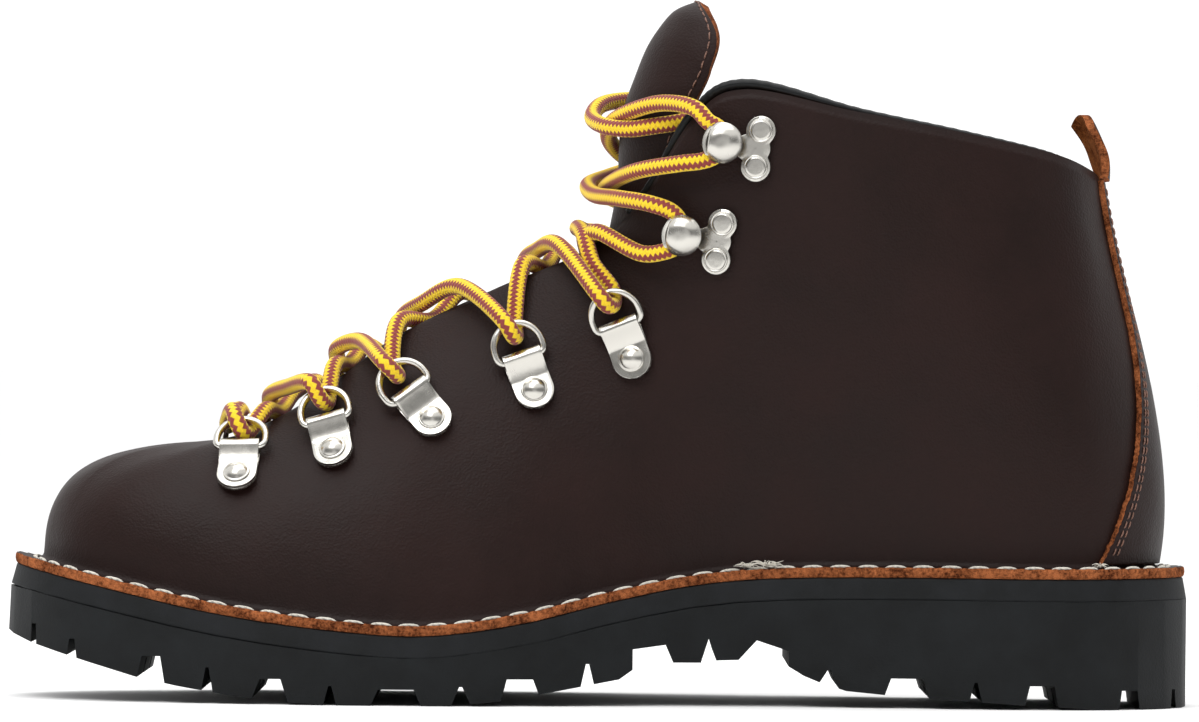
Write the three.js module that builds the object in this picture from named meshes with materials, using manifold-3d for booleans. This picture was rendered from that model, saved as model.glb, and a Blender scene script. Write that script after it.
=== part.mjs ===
// A laced mountaineering boot for the right foot, built as it comes apart on a bench: a lugged rubber
// outsole, midsole, shank, boards and footbed, a turned-out (stitchdown) leather upper with lining and
// stiffeners, a two-part tongue, ten hinged D-rings in riveted clips, four speed hooks and one lace.
//
// Millimetres. The toe points to -X, the heel to +X, the inner (medial) side to -Y, up is +Z.
import * as THREE from "three";
import { mergeVertices } from "three/addons/utils/BufferGeometryUtils.js";
import Module from "manifold-3d";

const wasm = await Module();
wasm.setup();

// ---------------------------------------------------------------------------------------------
// Driving sizes
// ---------------------------------------------------------------------------------------------

const LAST_LENGTH = 291.5; // feather line (where upper meets welt), toe to heel
const LAST_WIDTH = 94; // feather line across the ball
const COLLAR_HEIGHT = 160.3; // top edge of the quarters at the front of the collar

const CLEARANCE = 0.3; // between pieces that touch on the real boot

const LEATHER = 2.3; // vamp and quarter leather
const LINING = 1.2; // lining leather
const PADDING = 0.9; // thin foam between leather and lining
const STIFFENER = 1.4; // toe puff and heel counter
const FLANGE = 2.5; // turned-out edge of the upper, with its welt
const MIDSOLE = 5.2; // rubber midsole sheet
const BOARD = 1.5; // insole board
const FOOTBED = 4; // removable footbed
const BACKSTAY = 2.0; // heel overlay leather
const TONGUE = 3; // padded tongue leather
const GUSSET = 1; // bellows leather between tongue and quarters

const OUTSOLE_LIP = 0.9; // outsole edge outside the midsole edge
const TOE_LIP = 2.6; // the same at the toe, at ground level
const TREAD_CHANNEL = 4.5; // width of the two lengthwise tread channels
const CHANNEL_OFFSET = 15; // their distance from the centre line
const CHANNEL_DEPTH = 4.2;

const SHANK_WIDTH = 15;
const SHANK_THICKNESS = 1.2;
const SHANK_START = -22;
const SHANK_END = 84;

const STITCH_INSET = 2.1; // welt thread, outside the foot of the upper
const THREAD = 1.1;

const RING_WIRE = 1.9;
const RING_WIDTH = 14.8; // over the wire
const RING_HEIGHT = 10.5; // middle of the bar to the outside of the arch
const CLIP_SIDE_GAP = 0.35; // between the strap's side and the ring's leg
const CLIP_WIDTH = RING_WIDTH - 2 * RING_WIRE - 2 * CLIP_SIDE_GAP;
const CLIP_LENGTH = 14; // middle of the bar to the rounded end
const CLIP_THICKNESS = 1.6; // strap folded double
const CLIP_EYE_WALL = 0.8;
const RIVET_HEAD = 7;
const RIVET_DOME = 1.5;
const RIVET_SHANK = 2.4;
const RIVET_FROM_END = 5.2; // rivet centre to the clip's rounded end

const HOOK_PLATE = 1.2;
const HOOK_LOBE = 3.9; // radius of each rivet lobe
const HOOK_SPREAD = 9.6; // distance between the two rivets
const HOOK_REACH = 9; // rivet line to the middle of the hood
const HOOK_NECK = 4.6;
const HOOD_RADIUS = 5.4;
const HOOD_RIM = 6.2; // rim of the hood above the leather
const HOOD_CROWN = 2.8; // rise of the hood above its rim
const HOOD_WALL = 0.9;
const HOOK_RIVET_HEAD = 6.4;

const BINDING = 2.6; // rolled black edge of the collar
const LACE = 4.4; // round braid, pulled tight

// ---------------------------------------------------------------------------------------------
// Shape of the last. One row per station, toe to heel:
// feather x, medial y, lateral y | top edge x, y, z | how far the wall first rises and bulges |
// how far it reaches out and drops from the top edge | width of the turned-out flange
// ---------------------------------------------------------------------------------------------

const STATIONS = [
  [-145.2, -6, -6, -101, 0, 67.4, 27, 0.7, 27, 2, 7.4],
  [-140, -22, 10, -100.2, 4, 67.6, 27, 1.2, 26, 2, 7.1],
  [-127, -33.5, 23, -97.5, 7.8, 68.2, 27, 1.8, 21, 2, 6.6],
  [-105, -41, 34, -90, 10.3, 70.8, 27, 2, 15, 3, 6.1],
  [-78, -45.5, 42, -75, 11.2, 79.2, 29, 1, 12.5, 5, 6],
  [-50, -46.5, 46, -53, 11.6, 95.5, 34, -1, 11.5, 8, 6],
  [-22, -42.5, 47.5, -27, 12.2, 108.3, 38, -1.5, 10.5, 10, 6],
  [6, -34.5, 45.5, -4, 15, 118.4, 40, 1.5, 9, 15, 6],
  [30, -29.5, 42, 10.5, 22.5, 131.5, 42, 5, 8, 24, 6],
  [48, -28.5, 39.5, 23.5, 30, 152.5, 44, 7, 5, 32, 6],
  [64, -29, 37.5, 37, 33.5, 160.3, 46, 8, 3, 34, 6],
  [86, -30.5, 35.5, 66, 36.5, 153.6, 48, 8, 2, 36, 6],
  [108, -31, 33.5, 95, 34.5, 148, 46, 8, 2, 36, 6.1],
  [128, -27, 28.5, 118, 25, 143.2, 40, 7, 3, 34, 6.8],
  [141.5, -15, 16.5, 128.5, 12.5, 139.2, 36, 6.5, 4, 31, 7.8],
  [146.3, 0, 0, 131.2, 0, 137, 34, 6.3, 4.4, 29, 8.2],
];
const DRAWN = { length: 291.5, width: 94, collar: 160.3 }; // sizes the rows are drawn at
const GRADE = {
  x: LAST_LENGTH / DRAWN.length,
  y: LAST_WIDTH / DRAWN.width,
  z: COLLAR_HEIGHT / DRAWN.collar,
};
const LAST_STATION = STATIONS.length - 1;
const TURN = 2 * LAST_STATION; // stations once round the boot
const COLUMNS = 2 * TURN; // two columns to a station
const ROWS = 6; // steps up the wall

// Height of the flange's top face along the boot: toe spring, ball, arch and heel.
const WELT_LINE = [
  [-156, 38.4],
  [-128, 32],
  [-100, 26],
  [-72, 22.1],
  [-45, 20.5],
  [-20, 23.7],
  [4, 29.6],
  [25, 33.9],
  [46, 35.9],
  [80, 36.5],
  [118, 36.4],
  [156, 36.8],
];

// Underside of the tread, and its cross grooves: middle, width at the root, width at the ground, root height.
const FOREFOOT_TREAD = [
  [-160, 19.5],
  [-147, 14.6],
  [-136, 11.4],
  [-119, 6.6],
  [-108, 4.4],
  [-90, 1.6],
  [-79, 0.6],
  [-67, 0],
  [-37, 0],
  [-24, 1.4],
  [-14, 3.2],
  [-4, 5.1],
  [6, 7],
];
const HEEL_TREAD = [
  [50, 10.6],
  [54, 8.2],
  [58, 6.6],
  [65, 4.4],
  [75, 3.5],
  [97, 2],
  [120, 0.7],
  [134, 0],
  [160, 0],
];
const GROOVES = [
  [-146.5, 1.2, 1.4, 19.6],
  [-136, 1.4, 2.6, 16],
  [-115, 4.8, 7.2, 12],
  [-100.3, 0.8, 3, 9.4],
  [-84, 5.4, 9.4, 6.6],
  [-68.5, 0.8, 3.4, 5],
  [-51.5, 9.2, 13, 4.2],
  [-34.8, 0.8, 5, 5],
  [-19.6, 6.8, 9.8, 7],
  [-2.2, 0.8, 3.4, 11],
  [60.6, 0.8, 5, 9.8],
  [80.8, 8.4, 11.6, 7.8],
  [98.6, 0.8, 3.4, 7],
  [115.8, 6.4, 8.8, 6.2],
  [139, 4.2, 5.6, 5],
  [151.3, 0.8, 1.6, 5],
];
// Two small lugs under the arch, between forefoot and heel.
const ARCH_TREAD = [
  [9.5, 9.5],
  [9.5, 14.8],
  [18, 16],
  [20, 11.4],
  [27.2, 11.4],
  [29.3, 18],
  [31.2, 12],
  [37, 12.2],
  [41.7, 17.3],
  [50, 14.6],
];

// ---------------------------------------------------------------------------------------------
// Small geometry helpers
// ---------------------------------------------------------------------------------------------

const vec = (x, y, z) => new THREE.Vector3(x, y, z);
const lerp = THREE.MathUtils.lerp;
const degrees = THREE.MathUtils.degToRad;

// Catmull-Rom through rows of numbers, one row to each whole number of t; read(k) gives row k.
function spline(read, t) {
  const k = Math.floor(t);
  const f = t - k;
  const [a, b, c, d] = [read(k - 1), read(k), read(k + 1), read(k + 2)];
  return b.map(
    (_, i) =>
      b[i] +
      0.5 * f * (c[i] - a[i] + f * (2 * a[i] - 5 * b[i] + 4 * c[i] - d[i] + f * (3 * (b[i] - c[i]) + d[i] - a[i]))),
  );
}

// Straight-line interpolation of [x, height] rows.
function along(rows, x) {
  const k = rows.findIndex((row) => row[0] >= x);
  if (k <= 0) return rows[k === 0 ? 0 : rows.length - 1][1];
  const [a, b] = [rows[k - 1], rows[k]];
  return lerp(a[1], b[1], (x - a[0]) / (b[0] - a[0]));
}

// Smooth height of the flange's top face at x.
function weltHeight(x) {
  const rows = WELT_LINE;
  const drawn = THREE.MathUtils.clamp(x / GRADE.x, rows[0][0], rows.at(-1)[0] - 1e-6);
  let k = 0;
  while (rows[k + 1][0] <= drawn) k += 1;
  const read = (i) => rows[THREE.MathUtils.clamp(i, 0, rows.length - 1)];
  const f = (drawn - rows[k][0]) / (rows[k + 1][0] - rows[k][0]);
  const slope = (i) => (read(i + 1)[1] - read(i - 1)[1]) / (read(i + 1)[0] - read(i - 1)[0]);
  const span = rows[k + 1][0] - rows[k][0];
  const [p, q, m, n] = [rows[k][1], rows[k + 1][1], slope(k) * span, slope(k + 1) * span];
  return p + f * (m + f * (3 * (q - p) - 2 * m - n + f * (2 * (p - q) + m + n)));
}

// A closed mesh from rings of points: ring i joins ring i + 1, and the last joins the first.
// Each ring is itself closed. The result faces out when the rings turn clockwise seen along the path.
function ringLoft(rings) {
  const size = rings[0].length;
  const index = [];
  rings.forEach((_, i) => {
    const next = (i + 1) % rings.length;
    for (let j = 0; j < size; j += 1) {
      const k = (j + 1) % size;
      index.push(i * size + j, i * size + k, next * size + j);
      index.push(next * size + j, i * size + k, next * size + k);
    }
  });
  return indexed(rings.flat(), index);
}

// A closed sheet with thickness from two equal grids of points, outer and inner.
function sheet(outer, inner) {
  const rows = outer.length;
  const size = outer[0].length;
  const total = rows * size;
  const index = [];
  const quad = (a, b, c, d) => index.push(a, b, c, a, c, d);
  for (let i = 0; i + 1 < rows; i += 1) {
    for (let j = 0; j + 1 < size; j += 1) {
      const a = i * size + j;
      quad(a, a + size, a + size + 1, a + 1);
      quad(total + a, total + a + 1, total + a + size + 1, total + a + size);
    }
    const first = i * size;
    const last = first + size - 1;
    quad(first, total + first, total + first + size, first + size);
    quad(last, last + size, total + last + size, total + last);
  }
  for (let j = 0; j + 1 < size; j += 1) {
    const far = total - size + j;
    quad(j, j + 1, total + j + 1, total + j);
    quad(far, total + far, total + far + 1, far + 1);
  }
  return indexed([...outer.flat(), ...inner.flat()], index);
}

function indexed(points, index) {
  const geometry = new THREE.BufferGeometry().setFromPoints(points);
  geometry.setIndex(index);
  geometry.computeVertexNormals();
  return geometry;
}

function toSolid(geometry) {
  const bare = new THREE.BufferGeometry();
  bare.setAttribute("position", geometry.getAttribute("position"));
  bare.setIndex(geometry.index);
  const merged = mergeVertices(bare, 1e-4);
  const triVerts = merged.index ? merged.index.array : [...merged.getAttribute("position").array.keys()];
  return new wasm.Manifold(
    new wasm.Mesh({
      numProp: 3,
      vertProperties: merged.getAttribute("position").array,
      triVerts: new Uint32Array(triVerts),
    }),
  );
}

function fromSolid(solid) {
  const mesh = solid.getMesh();
  const geometry = new THREE.BufferGeometry();
  geometry.setAttribute("position", new THREE.BufferAttribute(mesh.vertProperties, 3));
  geometry.setIndex(new THREE.BufferAttribute(mesh.triVerts, 1));
  geometry.computeVertexNormals();
  return geometry;
}

// A side outline, points [x, z], extruded across the boot from y0 to y1.
function acrossBoot(outline, y0, y1) {
  const shape = new THREE.Shape(outline.map(([x, z]) => new THREE.Vector2(x, z)));
  const geometry = new THREE.ExtrudeGeometry(shape, { depth: y1 - y0, bevelEnabled: false });
  geometry.rotateX(Math.PI / 2);
  geometry.translate(0, y1, 0);
  return geometry;
}

function material(color, roughness, metalness = 0) {
  return new THREE.MeshStandardMaterial({ color, roughness, metalness });
}

const MATERIALS = {
  leather: () => material("#33292a", 0.55),
  leatherEdge: () => material("#a5532d", 0.9),
  blackLeather: () => material("#26282a", 0.5),
  liningLeather: () => material("#2b2625", 0.8),
  board: () => material("#8a6a48", 0.85),
  foam: () => material("#3a3a3c", 0.95),
  rubber: () => material("#26292b", 0.8),
  nickel: () => material("#d9d6cf", 0.2, 1),
  steel: () => material("#9a9c9e", 0.35, 1),
  thread: () => material("#d8d2c8", 0.9),
  lace: () => material("#c8962e", 0.9),
};

const boot = new THREE.Group();

function add(name, geometry, look, parent = boot) {
  const mesh = new THREE.Mesh(geometry, MATERIALS[look]());
  mesh.name = name;
  parent.add(mesh);
  return mesh;
}

// ---------------------------------------------------------------------------------------------
// The last: feather line, top edge and the wall between them
// ---------------------------------------------------------------------------------------------

// Station row k once round the boot, with y signed: 0 is the toe, 0..15 the medial side, 15..30 the lateral.
function stationRow(k) {
  const wrapped = ((k % TURN) + TURN) % TURN;
  const lateral = wrapped > LAST_STATION;
  const row = STATIONS[lateral ? TURN - wrapped : wrapped];
  const [fx, medial, outside, tx, ty, tz, rise, bulge, reach, drop, flange] = row;
  const side = lateral ? 1 : -1;
  const lean = lateral ? 0.7 * (Math.abs(outside) - Math.abs(medial)) : 0;
  return [
    fx * GRADE.x,
    (lateral ? outside : medial) * GRADE.y,
    tx * GRADE.x,
    side * ty * GRADE.y,
    tz * GRADE.z,
    rise * GRADE.z,
    bulge - lean,
    reach * GRADE.y,
    drop * GRADE.z,
    flange,
  ];
}

const station = (u) => spline(stationRow, u);

// Outward unit normal in plan of the curve held in columns i and i + 1 of the station rows.
function planNormal(u, i) {
  const [a, b] = [station(u - 0.05), station(u + 0.05)];
  return vec(b[i + 1] - a[i + 1], a[i] - b[i], 0).normalize();
}

function feather(u, outward, height = 0) {
  const row = station(u);
  const point = vec(row[0], row[1], 0).addScaledVector(planNormal(u, 0), outward);
  point.z = weltHeight(point.x) + height;
  return point;
}

const flangeEdge = (u, extra, height) => feather(u, station(u)[9] + extra, height);

// Outer face of the upper: v runs from the feather line (0) to the top edge (1).
function wall(u, v) {
  const [fx, fy, tx, ty, tz, rise, bulge, reach, drop] = station(u);
  const foot = vec(fx, fy, weltHeight(fx));
  const top = vec(tx, ty, tz);
  const low = foot.clone().addScaledVector(planNormal(u, 0), bulge).add(vec(0, 0, rise));
  const high = top.clone().addScaledVector(planNormal(u, 2), reach).add(vec(0, 0, -drop));
  return new THREE.CubicBezierCurve3(foot, low, high, top).getPoint(v);
}

function wallNormal(u, v) {
  const step = 0.02;
  const [a, b] = [Math.max(v - step, 0), Math.min(v + step, 1)];
  const acrossU = wall(u + step, v).sub(wall(u - step, v));
  const upV = wall(u, b).sub(wall(u, a));
  return acrossU.cross(upV).normalize();
}

const offsetWall = (u, v, outward) => wall(u, v).addScaledVector(wallNormal(u, v), outward);

// Room left between upper and lining, where the toe puff and heel counter sit.
function stiffenerRoom(u) {
  const wrapped = ((u % TURN) + TURN) % TURN;
  const fromToe = wrapped > LAST_STATION ? TURN - wrapped : wrapped;
  const toe = THREE.MathUtils.clamp(5 - fromToe, 0, 1);
  const heel = THREE.MathUtils.clamp(fromToe - 11, 0, 1);
  return lerp(PADDING, STIFFENER + 3 * CLEARANCE, Math.max(toe, heel));
}

const liningOuter = (u) => LEATHER + stiffenerRoom(u);
const liningInner = (u) => liningOuter(u) + LINING;

const columns = Array.from({ length: COLUMNS }, (_, i) => (i * TURN) / COLUMNS);
const rowSteps = Array.from({ length: ROWS + 1 }, (_, j) => j / ROWS);

// ---------------------------------------------------------------------------------------------
// Sole unit
// ---------------------------------------------------------------------------------------------

// A slab between two outlines that follow the feather line; each outline gives a point for station u.
function slab(bottomAt, topAt) {
  const count = COLUMNS;
  const points = [...columns.map(bottomAt), ...columns.map(topAt)];
  const index = [];
  for (let i = 0; i < count; i += 1) {
    const k = (i + 1) % count;
    index.push(i, k, count + k, i, count + k, count + i);
  }
  for (let i = 0; i < count / 2; i += 1) {
    const [a, b] = [i, i + 1];
    const [c, d] = [(count - i) % count, count - i - 1];
    if (b !== d) index.push(a, d, b, count + a, count + b, count + d);
    if (a !== c) index.push(a, c, d, count + a, count + d, count + c);
  }
  return indexed(points, index);
}

const soleBottom = (x) => weltHeight(x) - FLANGE - CLEARANCE - MIDSOLE;

// The underside in side view, from toe to heel, with its grooves.
function treadLine() {
  const grooved = (rows) => {
    const points = rows.map(([x, z]) => [x, z]);
    GROOVES.filter(([x]) => x > rows[0][0] && x < rows.at(-1)[0]).forEach(([x, root, mouth, height]) => {
      const edges = [x - mouth / 2, x + mouth / 2];
      for (let i = points.length - 1; i >= 0; i -= 1) {
        if (points[i][0] > edges[0] && points[i][0] < edges[1]) points.splice(i, 1);
      }
      points.push([edges[0], along(rows, edges[0])], [x - root / 2, height]);
      points.push([x + root / 2, height], [edges[1], along(rows, edges[1])]);
      points.sort((p, q) => p[0] - q[0]);
    });
    return points;
  };
  const line = [...grooved(FOREFOOT_TREAD), ...ARCH_TREAD, ...grooved(HEEL_TREAD)];
  return line.map(([x, z]) => [x * GRADE.x, z]);
}

function outsoleGeometry() {
  const toe = (u) => Math.max(0, Math.cos((Math.PI * u) / TURN) ** 2 * 4 - 3);
  const body = toSolid(
    slab(
      (u) => flangeEdge(u, lerp(OUTSOLE_LIP, TOE_LIP, toe(u)), 0).setZ(-1),
      (u) => flangeEdge(u, lerp(OUTSOLE_LIP, 0, toe(u)), 0).setZ(60),
    ),
  );
  const tread = treadLine();
  const [start, end] = [tread[0][0], tread.at(-1)[0]];
  const steps = 26;
  const top = Array.from({ length: steps + 1 }, (_, i) => {
    const x = lerp(end, start, i / steps);
    return [x, soleBottom(x) - CLEARANCE];
  });
  let solid = body.intersect(toSolid(acrossBoot([...tread, ...top], -80, 80)));
  const channels = [
    [FOREFOOT_TREAD, -122, 3],
    [HEEL_TREAD, 58, 136],
  ];
  channels.forEach(([rows, from, to]) => {
    const inner = rows.filter(([x]) => x > from && x < to);
    const roof = [[from, along(rows, from)], ...inner, [to, along(rows, to)]];
    const outline = roof.map(([x, z]) => [x * GRADE.x, z + CHANNEL_DEPTH]);
    outline.push([to * GRADE.x, -5], [from * GRADE.x, -5]);
    [-1, 1].forEach((side) => {
      const y = side * CHANNEL_OFFSET;
      const cut = acrossBoot(outline, y - TREAD_CHANNEL / 2, y + TREAD_CHANNEL / 2);
      solid = solid.subtract(toSolid(cut));
    });
  });
  return fromSolid(solid);
}

function shankOutline(grow) {
  const steps = 14;
  const [from, to] = [SHANK_START * GRADE.x - grow, SHANK_END * GRADE.x + grow];
  const height = (x, drop) => weltHeight(x) - FLANGE - CLEARANCE - drop;
  const xs = Array.from({ length: steps + 1 }, (_, i) => lerp(from, to, i / steps));
  const lower = xs.map((x) => [x, height(x, CLEARANCE + SHANK_THICKNESS + grow)]);
  const upper = xs.reverse().map((x) => [x, height(x, grow > 0 ? -2 : CLEARANCE)]);
  return [...lower, ...upper];
}

function midsoleGeometry() {
  const sole = toSolid(
    slab(
      (u) => flangeEdge(u, -0.2, -FLANGE - CLEARANCE - MIDSOLE),
      (u) => flangeEdge(u, -0.2, -FLANGE - CLEARANCE),
    ),
  );
  const half = SHANK_WIDTH / 2 + CLEARANCE;
  const pocket = acrossBoot(shankOutline(CLEARANCE), -half, half);
  return fromSolid(sole.subtract(toSolid(pocket)));
}

function buildSole() {
  add("outsole", outsoleGeometry(), "rubber");
  add("midsole", midsoleGeometry(), "rubber");
  add("shank", acrossBoot(shankOutline(0), -SHANK_WIDTH / 2, SHANK_WIDTH / 2), "steel");
  const boardInset = -(LEATHER + 2 * CLEARANCE);
  const board = slab(
    (u) => feather(u, boardInset, -FLANGE),
    (u) => feather(u, boardInset, -FLANGE + BOARD),
  );
  add("insole_board", board, "board");
  const bedBottom = BOARD - FLANGE + CLEARANCE;
  // A lower collar draws the wall's foot inward, and the footbed's edge with it.
  const bedInset = 0.8 + 6 * Math.max(0, 1 - GRADE.z);
  const bed = slab(
    (u) => feather(u, -liningInner(u) - bedInset, bedBottom),
    (u) => feather(u, -liningInner(u) - bedInset, bedBottom + FOOTBED),
  );
  add("footbed", bed, "foam");
}

// ---------------------------------------------------------------------------------------------
// Upper, lining, stiffeners, backstay and pull tab
// ---------------------------------------------------------------------------------------------

function upperShell() {
  const down = [...rowSteps].reverse();
  return ringLoft(
    columns.map((u) => [
      ...down.map((v) => offsetWall(u, v, 0)),
      flangeEdge(u, 0, 0),
      flangeEdge(u, 0, -FLANGE),
      feather(u, -LEATHER, -FLANGE),
      ...rowSteps.map((v) => offsetWall(u, v, -LEATHER)),
    ]),
  );
}

function liningShell() {
  const down = [...rowSteps].reverse();
  return ringLoft(
    columns.map((u) => [
      ...down.map((v) => offsetWall(u, v, -liningOuter(u))),
      ...rowSteps.map((v) => offsetWall(u, v, -liningInner(u))),
    ]),
  );
}

// A patch of the wall between stations u0 and u1, from v = 0 up to row count rows.
function stiffener(u0, u1, rows) {
  const steps = Math.round((u1 - u0) * 2);
  const grid = (offset) =>
    Array.from({ length: steps + 1 }, (_, i) => {
      const u = lerp(u0, u1, i / steps);
      return rowSteps.slice(0, rows + 1).map((v) => offsetWall(u, v, -offset));
    });
  const outer = LEATHER + 1.5 * CLEARANCE;
  return sheet(grid(outer), grid(outer + STIFFENER));
}

// Half width of the heel overlay, in stations, at height v of the wall.
const backstayReach = (v) => 0.62 + 0.2 * (1 - v) + 1.05 * Math.max(0, 1 - v / 0.62) ** 1.5;

// Between the wall and the overlay; the longer facets of a longer boot need more room.
const BACKSTAY_GAP = 2 * CLEARANCE * Math.max(1, GRADE.x ** 2);

function backstayGrid(outward, vs) {
  const steps = 10;
  return Array.from({ length: steps + 1 }, (_, i) =>
    vs.map((v) => {
      const u = LAST_STATION + lerp(-1, 1, i / steps) * backstayReach(v);
      return offsetWall(u, v, outward);
    }),
  );
}

function backstay() {
  const inner = BACKSTAY_GAP;
  const vs = rowSteps.map((v) => lerp(0.012, 1, v));
  return sheet(backstayGrid(inner + BACKSTAY, vs), backstayGrid(inner, vs));
}

// The overlay's free end, standing above the collar: it leans forward and tapers to a round tip.
function pullTab() {
  const rows = 5;
  const steps = 6;
  const inner = 2 * CLEARANCE;
  const root = offsetWall(LAST_STATION, 1, inner);
  const grid = (thickness) =>
    Array.from({ length: steps + 1 }, (_, i) => {
      const across = lerp(-1, 1, i / steps);
      const u = LAST_STATION + across * backstayReach(1);
      const edge = offsetWall(u, 1, inner + thickness);
      return Array.from({ length: rows + 1 }, (_, j) => {
        const t = j / rows;
        const width = Math.sqrt(1 - (0.85 * t) ** 4);
        const point = edge.clone();
        point.y *= width;
        point.z = lerp(edge.z + 0.6, root.z + 18.5 - 3 * across ** 2, t);
        point.x -= 4.8 * t * t + 1.2 * t;
        return point;
      });
    });
  return sheet(grid(BACKSTAY), grid(0));
}

// The rolled edge round the collar, sitting on the cut tops of leather and lining.
function collarBinding() {
  const [from, to] = [7.75, TURN - 7.75];
  const steps = 44;
  const points = Array.from({ length: steps + 1 }, (_, i) => {
    const u = lerp(from, to, i / steps);
    const along = wall(u + 0.02, 1).sub(wall(u - 0.02, 1));
    const beyond = wallNormal(u, 1).cross(along).normalize();
    return offsetWall(u, 1, -liningInner(u) / 2).addScaledVector(beyond, BINDING / 2 + 2 * CLEARANCE);
  });
  const path = new THREE.CatmullRomCurve3(points);
  const section = new THREE.Shape().absarc(0, 0, BINDING / 2, 0, 2 * Math.PI, false);
  return new THREE.ExtrudeGeometry(section, { steps, curveSegments: 3, bevelEnabled: false, extrudePath: path });
}

// The thread follows the foot of the upper and steps out round the foot of the heel overlay.
function weltThread() {
  const foot = (u) => {
    const fromHeel = Math.abs(u - LAST_STATION);
    const step = THREE.MathUtils.smoothstep(-fromHeel, -backstayReach(0) - 0.9, -backstayReach(0) - 0.2);
    const sweep = 2 * Math.max(0, GRADE.x - 1); // a longer boot's overlay sweeps out further at its foot
    return STITCH_INSET + step * (BACKSTAY + BACKSTAY_GAP - 3 * CLEARANCE + sweep);
  };
  const path = new THREE.CatmullRomCurve3(
    columns.map((u) => feather(u, foot(u), THREAD / 2 + CLEARANCE)),
    true,
  );
  return new THREE.TubeGeometry(path, COLUMNS, THREAD / 2, 4, true);
}

function buildUpper() {
  add("upper_shell", upperShell(), "leather");
  add("lining", liningShell(), "liningLeather");
  add("toe_stiffener", stiffener(-3.5, 3.5, 4), "board");
  add("heel_stiffener", stiffener(LAST_STATION - 2.5, LAST_STATION + 2.5, 4), "board");
  add("backstay", backstay(), "leather");
  add("pull_tab", pullTab(), "leatherEdge");
  add("collar_binding", collarBinding(), "blackLeather");
  add("welt_stitching", weltThread(), "thread");
}

// ---------------------------------------------------------------------------------------------
// Tongue
// ---------------------------------------------------------------------------------------------

const TONGUE_SIDE = 0.72; // how far down the wall the lower tongue's edges reach
const TONGUE_END = 7; // station of the ankle flex line

// Middle line of the upper tongue's front face, from the ankle flex line to the tip: x, z.
const TONGUE_LINE = [
  [0.8, 117],
  [2.6, 125.5],
  [4.4, 138],
  [5, 152],
  [8.4, 164],
  [13, 174.5],
  [18.6, 181.6],
  [25, 184.6],
];
// Radius the tongue is rolled to and its half angle in degrees, for the same points.
const TONGUE_ROLL = [
  [18.5, 62],
  [18.2, 70],
  [17.8, 76],
  [19.2, 80],
  [21, 80],
  [21.5, 79],
  [21, 67],
  [19, 30],
];

function lowerTongue() {
  const stations = [];
  for (let u = 1.5; u <= TONGUE_END; u += 0.5) stations.push(u);
  const vs = [TONGUE_SIDE, 0.79, 0.86, 0.93, 1];
  const grid = (extra) =>
    stations.map((u) => {
      const depth = liningInner(u) + GUSSET + 5 * CLEARANCE + extra;
      const medial = vs.map((v) => offsetWall(u, v, -depth));
      const lateral = vs.map((v) => offsetWall(TURN - u, v, -depth)).reverse();
      const crown = medial.at(-1).clone().lerp(lateral[0], 0.5);
      crown.z += 0.8;
      return [...medial, crown, ...lateral];
    });
  return sheet(grid(0), grid(TONGUE));
}

function upperTongue() {
  const steps = 14;
  const across = 10;
  const line = (t) => spline((k) => TONGUE_LINE[THREE.MathUtils.clamp(k, 0, TONGUE_LINE.length - 1)], t);
  const roll = (t) => spline((k) => TONGUE_ROLL[THREE.MathUtils.clamp(k, 0, TONGUE_ROLL.length - 1)], t);
  const grid = (depth) =>
    Array.from({ length: steps + 1 }, (_, i) => {
      const t = ((TONGUE_LINE.length - 1) * i) / steps;
      const [x, z] = line(t);
      // Past the fifth row the sections stop turning with the line, so the tip stays upright.
      const [x0, z0] = line(Math.min(Math.max(t - 0.1, 0), 4.9));
      const [x1, z1] = line(Math.min(t + 0.1, 5.1));
      const ahead = vec(x1 - x0, 0, z1 - z0).normalize();
      const inward = vec(ahead.z, 0, -ahead.x);
      const [radius, half] = roll(t);
      return Array.from({ length: across + 1 }, (_, j) => {
        const angle = degrees(lerp(-half, half, j / across));
        const r = radius - depth;
        return vec(x, r * Math.sin(angle), z).addScaledVector(inward, radius - r * Math.cos(angle));
      });
    });
  return sheet(grid(0), grid(TONGUE));
}

// Bellows leather between tongue and lining, round the front of the throat and up both sides.
function tongueGusset() {
  const stations = [];
  for (let u = -6.5; u <= 6.5; u += 0.5) stations.push(u);
  const grid = (extra) =>
    stations.map((u) =>
      [0.7, 0.78, 0.86, 0.94].map((v) => offsetWall(u, v, -(liningInner(u) + 3 * CLEARANCE + extra))),
    );
  return sheet(grid(0), grid(GUSSET));
}

function buildTongue() {
  add("tongue_lower", lowerTongue(), "leather");
  add("tongue_upper", upperTongue(), "leather");
  add("tongue_gusset", tongueGusset(), "blackLeather");
}

// ---------------------------------------------------------------------------------------------
// Eyelet hardware
// ---------------------------------------------------------------------------------------------

// Where each D-ring's bar and rivet sit on the wall in side view (x, z), and how far the ring leans
// from its clip towards the lacing, in degrees.
const RINGS = [
  { bar: [-92.8, 64.6], rivet: [-93.7, 57.2], lean: -4 },
  { bar: [-69.9, 71.1], rivet: [-68.5, 64.8], lean: -10 },
  { bar: [-48.6, 79.2], rivet: [-43, 73.2], lean: -12 },
  { bar: [-20, 89.2], rivet: [-16.5, 80.6], lean: -14 },
  { bar: [6, 98], rivet: [9, 89.5], lean: -16 },
];
// Where each hook's hood and the middle of its rivets sit.
const HOOKS = [
  { hood: [22.3, 122.3], rivets: [31.6, 120.6] },
  { hood: [32, 146], rivets: [41, 144.8] },
];

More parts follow.
